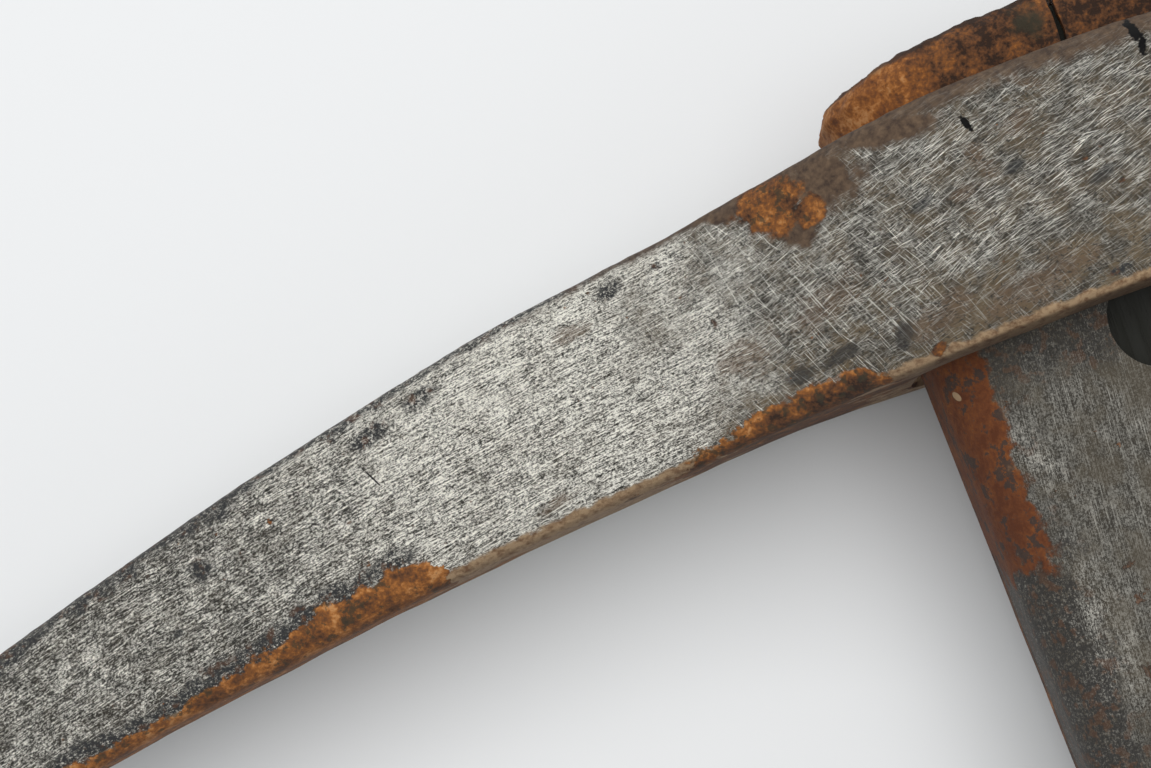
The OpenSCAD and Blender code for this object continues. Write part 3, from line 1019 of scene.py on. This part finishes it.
class HeadPaint:
    """Layers of the head's surface, from ground steel up to rust."""

    def __init__(self, finish):
        self.finish = finish
        self.material, self.w, self.surface = new_material("worn_head_steel")
        w = self.w
        self.place = w.add("TexCoord").outputs["Object"]
        along, self.across, half_depth = w.parts(w.attribute("forge"))
        self.flat = w.attribute("flat")
        height = w.parts(self.flat)[2]
        self.flow = w.add("CombineXYZ", {0: along, 1: self.across, 2: height}).outputs[0]
        self.away = w.math("ABSOLUTE", along)
        self.top_gap = w.minus(half_depth, self.across)
        self.low_gap = w.plus(half_depth, self.across)
        sheet = HeadForm.SHEET
        self.front = w.fade(height, 0.33 * sheet, 0.40 * sheet)
        self.drift = w.uneven(self.flow, 12 * MM, 2.0, 0.5)
        ragged = w.uneven(self.place, 2.8 * MM, 5.0, 0.6)
        self.nibble = w.times(ragged, 7 * MM)
        self.rag = w.times(ragged, 1.7)
        side = w.fade(w.math("ABSOLUTE", height), 0.44 * sheet, 0.36 * sheet)
        wander = w.times(w.uneven(self.place, 11 * MM, 5.0, 0.65), side)
        self.astray = w.scaled(wander, 110 * MM, w.scaled(ragged, 14 * MM, self.away))
        zone = w.scaled(self.drift, 50 * MM, self.away)
        self.cheek = w.fade(zone, 48 * MM, 80 * MM, 1.0, 0.0)
        self.eye = w.fade(zone, 18 * MM, 46 * MM, 1.0, 0.0)
        self.far = w.fade(zone, 112 * MM, 150 * MM)
        self.low_dirt = w.fade(self.low_gap, 3 * MM, 15 * MM, 1.0, 0.0)

    def on_front(self, marks, rag, softness=0.12):
        return self.w.times(marked(self.w, self.place, marks, rag, softness), self.front)

    def scratches(self, place, turn, size, stretch, start):
        wires = {"Place": place, "Turn": math.radians(turn), "Size": size * MM}
        return self.w.use(scored(), Stretch=stretch, Start=start, **wires)["Mask"]

    def scores(self):
        """Scratches: fine and along the arms, longer, brighter and crossed on the cheeks."""
        w = self.w
        arm = w.most(*(
            self.scratches(self.flow, turn, size, stretch, start)
            for turn, size, stretch, start in (
                (2, 0.14, 36.0, 0.60), (-6, 0.13, 28.0, 0.61), (11, 0.13, 24.0, 0.62),
            )
        ))
        arm = w.times(arm, w.slide(self.far, 0.85, 0.50))
        ground = w.most(*(
            self.scratches(self.flat, turn, size, 42.0, start)
            for turn, size, start in (
                (20, 0.13, 0.60), (14, 0.12, 0.61), (7, 0.12, 0.62), (29, 0.12, 0.63), (-3, 0.12, 0.64),
            )
        ))
        # Painted highlight: inside these marks the cheeks' scratches are drawn denser and brighter,
        # partly real scratches and partly the highlight where the cheek starts to bulge.
        scratch_highlight = marked(w, self.place, SCRATCH_HIGHLIGHT_MARKS, self.rag, 0.6)
        ground = w.times(ground, w.scaled(scratch_highlight, 0.44, 0.72))
        ground = w.times(ground, w.scaled(self.low_dirt, -0.55, 1.0))
        steep = w.most(
            self.scratches(self.flat, -68, 0.12, 50.0, 0.61),
            self.scratches(self.flat, -57, 0.11, 40.0, 0.63),
        )
        steep = w.times(steep, w.slide(self.eye, 0.80, 0.34))
        gouges = self.on_front(GOUGE_MARKS, w.times(self.rag, 0.9), 0.6)
        return w.slide(self.cheek, arm, w.most(ground, steep, w.times(gouges, 0.5)))

    def bare_steel(self):
        """Ground steel under a thin brown film."""
        w = self.w
        top_dirt = w.times(w.fade(self.top_gap, 2 * MM, 10 * MM, 1.0, 0.0), self.far)
        # Painted highlight: nearer the cheeks the arm's steel is drawn lighter than far out, partly
        # more scale far out and partly a highlight along the middle of the arm.
        arm_tone_and_highlight = w.scaled(top_dirt, -0.10, w.slide(self.far, 0.51, 0.21))
        arm_tone_and_highlight = w.scaled(self.drift, 0.16, w.scaled(self.across, 6.0, arm_tone_and_highlight))
        arm = w.use(
            ground_steel(), Place=self.flow, Turn=0.0, Stretch=1.6, Level=arm_tone_and_highlight,
            Grain=w.slide(self.far, 0.78, 0.68), Brush=w.slide(self.far, 0.50, 0.36),
            Cluster=w.slide(self.far, 1.6, 1.9),
        )["Light"]
        cheek_level = w.scaled(self.low_dirt, -0.07, w.slide(self.eye, 0.085, 0.015))
        cheek_level = w.scaled(self.drift, 0.12, cheek_level)
        cheek = w.use(
            ground_steel(), Place=self.flat, Turn=math.radians(14), Stretch=1.8, Level=cheek_level,
            Grain=0.28, Brush=0.10, Cluster=1.0,
        )["Light"]
        lines = self.scores()
        self.light = w.clamped(w.plus(w.slide(self.cheek, arm, cheek), lines))
        steel = w.blend(self.light, self.finish.dark, self.finish.bright)
        patchy = w.patches(self.place, 4.5, 5.0, 0.62, 0.40, 0.62, 0.25, 1.0)
        film = w.scaled(w.times(self.low_dirt, self.cheek), 0.45, w.slide(self.cheek, 0.18, 0.70))
        bared = w.clamped(w.scaled(lines, -2.0, 1.0))
        self.film = w.times(w.times(patchy, film), bared)
        steel = w.blend(self.film, steel, self.finish.stain)
        brown = w.times(self.on_front(BROWN_MARKS, w.times(self.rag, 1.6), 0.5), w.times(bared, 0.7))
        steel = w.blend(brown, steel, self.finish.brown_pale)
        pits = w.use(pitted(), Place=self.flow, Amount=w.slide(self.far, 0.09, 0.105))["Mask"]
        steel = w.blend(w.times(pits, 0.85), steel, self.finish.dark)
        blue = w.times(self.on_front(BLUE_MARKS, self.rag, 0.3), 0.7)
        return w.blend(blue, steel, self.finish.scale)

    def scale(self, steel):
        """Black scale along the top edge of the arms and between the steel and the rust."""
        w = self.w
        width = w.scaled(self.drift, 6 * MM, w.drawn(self.astray, SCALE_WIDTH))
        top = within(w, self.top_gap, width, self.nibble, 0.8 * MM)
        fringe = within(w, self.low_gap, w.plus(self.rust_width, 2.4 * MM), self.nibble, 1.0 * MM)
        fringe = w.times(fringe, w.fade(self.far, 0.0, 0.5))
        self.black = w.most(top, fringe, self.on_front(DARK_MARKS, self.rag, 0.35))
        flecks = w.patches(self.place, 0.6, 4.0, 0.85, 0.49, 0.56, 0.0, 0.75)
        brown_bits = w.patches(self.place, 2.0, 4.0, 0.6, 0.55, 0.63, 0.0, 0.45)
        return flecked(w, steel, self.finish.scale, flecks, brown_bits, self.finish.rust_brown)

    def cover(self):
        """Lays scale, brown film and rust over the bare steel."""
        w, finish = self.w, self.finish
        drawn_width = w.drawn(self.astray, RUST_WIDTH)
        self.rust_width = w.scaled(self.drift, 4 * MM, drawn_width)
        steel = self.bare_steel()
        black_tint = self.scale(steel)
        whole = w.blend(self.black, steel, black_tint)

        # Dull brown along the top of the cheeks; dry brown on the low side, drawn pale partly as
        # painted light
        brown_width = w.fade(self.away, 44 * MM, 64 * MM, 3.2 * MM, 0.9 * MM)
        brown_top = within(w, self.top_gap, brown_width, w.times(self.nibble, 0.7), 1.2 * MM)
        brown_top = w.times(brown_top, w.fade(self.astray, 92 * MM, 104 * MM, 0.9, 0.0))
        brown_top = w.most(brown_top, self.on_front(DULL_MARKS, self.rag, 0.3))
        mottle = w.spread(w.cloud(self.place, 1.3 * MM, 5.0, 0.65), 3.0, 0.45)
        brown_tint = w.blend(mottle, finish.brown_dark, finish.brown_pale)
        # Painted light: the pale dry rust on the low side is partly rust and partly light on a side
        # that faces away from the lamp.
        low_width = w.slide(self.cheek, 1.7 * MM, 1.8 * MM)
        side_low = within(w, self.low_gap, low_width, w.times(self.nibble, 0.35))
        side_top = within(w, self.top_gap, 0.9 * MM, w.times(self.nibble, 0.2))
        dry = w.blend(w.spread(mottle, 1.3, 0.84), finish.rust_brown, finish.rust_pale)
        side_top_tint = w.blend(w.fade(self.astray, 70 * MM, 92 * MM), brown_tint, black_tint)
        whole = w.blend(brown_top, whole, brown_tint)
        whole = w.blend(side_top, whole, side_top_tint)
        whole = w.blend(side_low, whole, dry)

        # Rust on the low edge, in the marks and in small spots; painted shade along the very low edge
        # and in the pits
        low = within(w, self.low_gap, self.rust_width, w.times(self.nibble, 0.7))
        low = w.times(low, w.fade(drawn_width, 0.5 * MM, 1.2 * MM))
        border = w.fade(w.minus(self.rust_width, self.low_gap), 0.2 * MM, 1.6 * MM, 0.30, 0.0)
        spots = w.patches(self.place, 6, 5.0, 0.62, 0.70, 0.71)
        spots = w.times(spots, w.rest(self.cheek))
        specks = w.patches(self.place, 1.5, 2.0, 0.6, 0.735, 0.755, 0.0, 0.8)
        rusty = w.most(low, self.on_front(RUST_MARKS, w.times(self.rag, 0.7)), spots, specks)
        # Painted light: the low rust is drawn warmer and paler far out along the arm, partly fresher
        # rust and partly light on its low side.
        heat = w.times(low, w.most(w.fade(self.away, 90 * MM, 110 * MM, 0.0, 0.20), border))
        heat = w.most(heat, w.times(self.on_front(HOT_MARKS, self.rag, 0.4), 0.14))
        rusted = w.use(rust(finish), Place=self.place, Heat=heat)
        olive = w.patches(self.place, 2.2, 5.0, 0.7, 0.53, 0.60, 0.0, 0.75)
        whole = w.blend(rusty, whole, w.blend(olive, rusted["Color"], finish.olive))
        # Painted shade: deep rust colour along the very low edge, strongest at the eye, is partly old
        # rust and partly the contact shadow where the head meets the sleeve.
        corner = w.fade(self.low_gap, 0.3 * MM, 0.9 * MM, w.slide(self.eye, 0.28, 0.8), 0.0)
        whole = w.blend(corner, whole, finish.rust_deep)
        # Painted shade: a few pits and a crack are drawn near black, for the shade in hollows that the
        # mesh does not have.
        torn = w.times(w.uneven(self.place, 1.1 * MM, 4.0, 0.7), 3.0)
        whole = w.blend(self.on_front(PIT_SHADE_MARKS, torn, 0.2), whole, finish.hollow)

        crust = w.most(rusty, side_low, brown_top)
        dull = w.most(crust, w.times(w.most(self.black, side_top), 0.7))
        metal = w.times(w.rest(dull), w.slide(self.film, 0.75, 0.35))
        roughness = w.slide(dull, w.slide(self.light, 0.52, 0.38), 0.78)
        height = w.scaled(w.times(rusty, rusted["Height"]), 2.6, w.times(self.light, 0.3))
        dress(w, self.surface, whole, metal, roughness, height, 0.7, 0.16 * MM)
        return self.material


class SleevePaint:
    """Layers of the sleeve's surface: dull sheet, scale and rust to its sides, a rusted rim."""

    BRIGHT_MARKS = [(-24.5, -66.0, 3.6, 11.0, 6), (-26.0, -39.0, 2.6, 6.0, 20)]
    DARK_RIM_MARKS = [(-4.0, 24.8, 2.2, 2.9, 0)]
    FLECK_MARKS = [(-33.0, -25.4, 0.35, 0.8, 20)]
    BRUSHING = math.radians(86)  # direction of the brushing, turned from the line of the arms

    def __init__(self, finish, sleeve):
        self.finish = finish
        self.sleeve = sleeve
        self.material, self.w, self.surface = new_material("rusted_sleeve_steel")
        w = self.w
        self.place = w.add("TexCoord").outputs["Object"]
        self.x, self.y, z = w.parts(self.place)
        narrowing = w.times(w.minus(sleeve.seat_low, self.y), sleeve.sizes.shank_taper)
        half_width = w.minus(sleeve.core_x + sleeve.radius(sleeve.seat_low), narrowing)
        self.side_gap = w.minus(half_width, w.math("ABSOLUTE", self.x))
        self.under = w.times(
            w.fade(z, AXIS_Z - 3 * MM, AXIS_Z - 5.5 * MM), w.fade(self.side_gap, 1.5 * MM, 0.5 * MM)
        )
        self.ragged = w.uneven(self.place, 5 * MM, 5.0, 0.6)
        self.nibble = w.times(self.ragged, 22 * MM)
        self.upper = w.fade(w.scaled(self.ragged, 34 * MM, self.y), -57 * MM, -52 * MM)
        self.flat = w.vector("MULTIPLY", self.place, (1.0, 1.0, 0.1))

    def sheet(self):
        """Dull steel with faint brushing, dark scale to the sides, and just below the head a band in
        the scale colour that is partly dirt and partly painted shadow of the head.
        """
        w, finish = self.w, self.finish
        drift = w.uneven(self.place, 16 * MM, 2.0, 0.5)
        bare = w.use(
            ground_steel(), Place=self.flat, Turn=self.BRUSHING, Stretch=1.3, Grain=0.22, Brush=0.12,
            Cluster=0.5, Level=w.scaled(drift, 0.18, 0.090),
        )["Light"]
        bright = marked(w, self.place, self.BRIGHT_MARKS, w.times(self.ragged, 1.4), 0.6)
        lines = w.use(
            scored(), Place=self.flat, Turn=self.BRUSHING, Size=0.15 * MM, Stretch=60.0, Start=0.59
        )["Mask"]
        lines = w.times(lines, w.fade(self.side_gap, 6 * MM, 16 * MM, 0.04, 0.22))
        self.light = w.clamped(w.plus(w.scaled(bright, w.times(bare, 1.3), bare), lines))
        steel = w.blend(self.light, finish.dark, finish.bright)
        film = w.patches(self.place, 6, 5.0, 0.6, 0.40, 0.64, 0.20, 0.66)
        steel = w.blend(film, steel, finish.sleeve_film)
        band = w.fade(w.plus(self.side_gap, self.nibble), 5 * MM, 12 * MM, 1.0, 0.0)
        band = w.times(band, w.slide(self.upper, 0.92, 0.75))
        # Painted shadow: just below the head the sheet takes the scale colour, partly dirt and partly
        # the head's shadow.
        shade = w.fade(w.scaled(self.ragged, 12 * MM, self.y), -31 * MM, -24 * MM, 0.0, 0.75)
        self.black = w.most(band, shade)
        flecks = w.patches(self.place, 0.6, 4.0, 0.85, 0.51, 0.56, 0.0, 0.85)
        brown_bits = w.patches(self.place, 2.4, 4.0, 0.6, 0.54, 0.60, 0.0, 0.50)
        tint = flecked(w, steel, finish.sleeve_scale, flecks, brown_bits, finish.rust_brown)
        return w.blend(self.black, steel, tint)

    def cover(self):
        """Lays rust over the sheet: red along its sides, brown to orange on the rim."""
        w, finish = self.w, self.finish
        rim = w.fade(w.scaled(self.nibble, 0.3, self.y), 12 * MM, 14 * MM)
        edge = within(w, self.side_gap, 7.0 * MM, w.times(self.nibble, 0.5), 0.7 * MM)
        edge = w.times(w.times(edge, self.upper), w.rest(rim))
        spots = w.patches(self.place, 7, 5.0, 0.62, 0.66, 0.68, 0.0, 0.7)
        rusty = w.most(edge, rim, spots, self.under)
        rim_end = w.times(w.fade(w.plus(self.x, self.nibble), -18 * MM, -29 * MM), rim)
        warmth = w.fade(self.y, -50 * MM, -32 * MM, -0.12, 0.06)
        heat = w.slide(rim, w.scaled(w.uneven(self.place, 5 * MM, 2.0, 0.5), 1.0, warmth), -0.17)
        rusted = w.use(rust(finish), Place=self.place, Heat=w.scaled(rim_end, 0.50, heat))
        red = w.most(w.times(edge, 0.6), w.times(rim_end, 0.25))
        tint = w.blend(red, rusted["Color"], finish.rust_red)
        isles = w.patches(self.place, 3.6, 5.0, 0.7, 0.53, 0.59, 0.0, 0.85)
        tint = w.blend(w.times(isles, edge), tint, finish.sleeve_scale)
        whole = w.blend(rusty, self.sheet(), tint)
        dark_rim = marked(w, self.place, self.DARK_RIM_MARKS, w.times(self.ragged, 3.5), 0.4)
        whole = w.blend(w.times(dark_rim, 0.75), whole, finish.olive)
        crest = w.scaled(w.times(self.x, self.x), 0.5 / self.sleeve.sizes.crown, self.y)
        crest = w.scaled(self.nibble, 0.12, crest)
        crest_line = w.fade(crest, self.sleeve.rim_y - 1.3 * MM, self.sleeve.rim_y - 0.5 * MM, 0.0, 0.8)
        whole = w.blend(crest_line, whole, finish.rust_deep)
        fleck = marked(w, self.place, self.FLECK_MARKS, w.times(self.ragged, 0.8))
        whole = w.blend(fleck, whole, finish.rust_pale)
        dull = w.most(rusty, w.times(self.black, 0.7))
        metal = w.slide(dull, 0.6, 0.0)
        roughness = w.slide(dull, 0.48, 0.8)
        height = w.scaled(w.times(rusty, rusted["Height"]), 3.0, w.times(self.light, 0.5))
        dress(w, self.surface, whole, metal, roughness, height, 0.7, 0.18 * MM)
        return self.material


def rivet_steel(finish):
    material, w, surface = new_material("dark_rivet_steel")
    place = w.add("TexCoord").outputs["Object"]
    worn = w.patches(place, 1.6, 4.0, 0.6, 0.50, 0.62, 0.0, 0.6)
    rusted = w.use(rust(finish), Place=place, Heat=-0.10)
    tint = w.blend(worn, rusted["Color"], finish.worn_rivet)
    dress(w, surface, tint, worn, w.slide(worn, 0.8, 0.45), rusted["Height"], 0.6, 0.15 * MM)
    return material


def ash_wood(finish, shoulder):
    """Weathered ash: long grain, dirt in the pores, tar beside the steel, a paler grip."""
    material, w, surface = new_material("weathered_ash")
    place = w.add("TexCoord").outputs["Object"]
    x, y, z = w.parts(place)

    def along_helve(size, stretch, detail):
        wires = {"Place": place, "Size": size * MM, "Stretch": stretch, "Turn": math.radians(90)}
        return w.use(drawn_grain(), Detail=detail, Roughness=0.6, **wires)["Value"]

    sway = w.times(w.uneven(w.vector("MULTIPLY", place, (1.0, 0.12, 1.0)), 30 * MM, 2.0, 0.5), 9 * MM)
    year = w.math("FRACT", w.math("DIVIDE", w.plus(w.scaled(z, 0.35, x), sway), 3.4 * MM))
    summer = w.times(w.fade(year, 0.35, 0.92), w.fade(year, 1.0, 0.93))
    fine = along_helve(1.1, 26.0, 3.0)
    pores = w.fade(along_helve(0.35, 40.0, 2.0), 0.56, 0.70)
    share = w.scaled(summer, 0.35, w.spread(fine, 1.8, 0.28))
    wood = w.blend(share, finish.ash_pale, finish.ash_dark)
    wood = w.blend(w.times(pores, 0.65), wood, finish.ash_pore)
    weathered = w.patches(place, 60, 3.0, 0.6, 0.40, 0.66, 0.0, 0.45)
    wood = w.blend(weathered, wood, finish.ash_grey)
    tarred = w.fade(w.scaled(w.minus(fine, 0.5), 0.12, y), shoulder - 75 * MM, shoulder + 2 * MM)
    bruised = w.patches(place, 18, 4.0, 0.65, 0.62, 0.72, 0.0, 0.45)
    wood = w.blend(w.times(bruised, w.rest(tarred)), wood, finish.ash_pore)
    wood = w.blend(tarred, wood, finish.tar)
    height = w.minus(w.times(summer, 0.3), pores)
    dress(w, surface, wood, 0.0, w.slide(share, 0.52, 0.72), height, 0.5, 0.2 * MM)
    return material


# Stage

PAPER_TINT = (0.985, 0.995, 1.0)
SKY_TINT = (0.96, 0.98, 1.0)  # light of the surroundings
SEEN_TINT = (0.82, 0.83, 0.845)  # what the camera and polished steel see of them
LAMP_PLACE = (0.04, 0.36, 1.45)
LAMP_AIM = (-0.08, 0.0, 0.03)
SENSOR_WIDTH = 36.0  # in millimetres


def paper_floor(settings):
    material, w, surface = new_material("white_paper")
    tint = [settings.paper * share for share in PAPER_TINT]
    w.join(tint, surface["Base Color"])
    w.join(0.9, surface["Roughness"])
    w.join(0.0, surface["Specular IOR Level"])
    bm = bmesh.new()
    bmesh.ops.create_grid(bm, x_segments=1, y_segments=1, size=settings.floor / 2)
    floor = to_object("floor", bm)
    floor.data.materials.append(material)


def sky(settings):
    """Even pale light, which the camera and polished steel see as white paper."""
    world = bpy.data.worlds.new("studio")
    world.use_nodes = True
    bpy.context.scene.world = world
    w = Wiring(world.node_tree)
    light = world.node_tree.nodes["Background"]
    w.join(SKY_TINT, light.inputs["Color"])
    w.join(settings.sky, light.inputs["Strength"])
    shown = w.add("Background", {0: SEEN_TINT, 1: 1.0})
    rays = w.add("LightPath").outputs
    seen = w.most(rays["Is Camera Ray"], rays["Is Glossy Ray"], rays["Is Transmission Ray"])
    both = w.add("MixShader", {0: seen, 1: light.outputs[0], 2: shown.outputs[0]})
    w.join(both.outputs[0], world.node_tree.nodes["World Output"].inputs["Surface"])


def lamp(name, power, size, place, aim):
    data = bpy.data.lights.new(name, "AREA")
    data.energy = power
    data.shape = "SQUARE"
    data.size = size
    made = bpy.data.objects.new(name, data)
    made.location = place
    made.rotation_euler = (Vector(aim) - Vector(place)).to_track_quat("-Z", "Y").to_euler()
    made.visible_glossy = False
    bpy.context.scene.collection.objects.link(made)


def camera(settings):
    """Looks down on the pickaxe, rolled so that the arm runs up across the picture."""
    data = bpy.data.cameras.new("camera")
    data.lens = settings.lens
    data.sensor_width = SENSOR_WIDTH
    made = bpy.data.objects.new("camera", data)
    back = (Vector(settings.place) - Vector(settings.aim)).normalized()
    up = Vector((math.sin(settings.roll), math.cos(settings.roll), 0.0))
    up = (up - back * up.dot(back)).normalized()
    right = up.cross(back)
    made.matrix_world = Matrix.LocRotScale(
        Vector(settings.place), Matrix((right, up, back)).transposed().to_quaternion(), None
    )
    bpy.context.scene.collection.objects.link(made)
    bpy.context.scene.camera = made


def lay_stage(context):
    settings = context.scene.pick_stage
    paper_floor(settings)
    sky(settings)
    lamp("softbox", settings.lamp_power, settings.lamp_size, LAMP_PLACE, LAMP_AIM)
    camera(settings)
    context.scene.view_settings.view_transform = "Standard"


# Operators, panel and registration

class PICK_OT_forge_head(bpy.types.Operator):
    """Forge the head and cut its eye"""

    bl_idname = "pick.forge_head"
    bl_label = "Forge the head"

    def execute(self, context):
        forged_head(context)
        return {"FINISHED"}


class PICK_OT_wrap_sleeve(bpy.types.Operator):
    """Wrap the sleeve, roll its rim and cut its window and seam"""

    bl_idname = "pick.wrap_sleeve"
    bl_label = "Wrap the sleeve"

    def execute(self, context):
        wrapped_sleeve(context)
        return {"FINISHED"}


class PICK_OT_shape_helve(bpy.types.Operator):
    """Shape the ash helve from its fitted top to its butt"""

    bl_idname = "pick.shape_helve"
    bl_label = "Shape the helve"

    def execute(self, context):
        ash_helve(context)
        return {"FINISHED"}


class PICK_OT_set_rivets(bpy.types.Operator):
    """Set both rivets through the sleeve and the wood"""

    bl_idname = "pick.set_rivets"
    bl_label = "Set the rivets"

    def execute(self, context):
        sleeve_rivets(context)
        return {"FINISHED"}


class PICK_OT_lay_stage(bpy.types.Operator):
    """Lay the floor and set the light and the camera"""

    bl_idname = "pick.lay_stage"
    bl_label = "Lay the stage"

    def execute(self, context):
        lay_stage(context)
        return {"FINISHED"}


OPERATORS = (
    PICK_OT_forge_head, PICK_OT_wrap_sleeve, PICK_OT_shape_helve, PICK_OT_set_rivets, PICK_OT_lay_stage,
)
GROUPS = {
    "pick_head": HeadSizes, "pick_sleeve": SleeveSizes, "pick_helve": HelveSizes,
    "pick_rivets": RivetSizes, "pick_finish": Finish, "pick_stage": StageSettings,
}


class PICK_PT_bench(bpy.types.Panel):
    """Lists the steps that build the pickaxe, and the sizes they use"""

    bl_idname = "PICK_PT_bench"
    bl_label = "Pickaxe"
    bl_space_type = "VIEW_3D"
    bl_region_type = "UI"
    bl_category = "Pickaxe"

    def draw(self, context):
        for operator in OPERATORS:
            self.layout.operator(operator.bl_idname)
        for name, group in GROUPS.items():
            box = self.layout.box()
            box.label(text=group.__doc__)
            for prop in group.__annotations__:
                box.prop(getattr(context.scene, name), prop)


def register():
    for cls in (*GROUPS.values(), *OPERATORS, PICK_PT_bench):
        bpy.utils.register_class(cls)
    for name, group in GROUPS.items():
        setattr(bpy.types.Scene, name, bpy.props.PointerProperty(type=group))


def unregister():
    for name in GROUPS:
        delattr(bpy.types.Scene, name)
    for cls in reversed((*GROUPS.values(), *OPERATORS, PICK_PT_bench)):
        bpy.utils.unregister_class(cls)


def main():
    register()
    bpy.ops.pick.forge_head()
    bpy.ops.pick.wrap_sleeve()
    bpy.ops.pick.shape_helve()
    bpy.ops.pick.set_rivets()
    bpy.ops.pick.lay_stage()


if __name__ == "__main__":
    main()
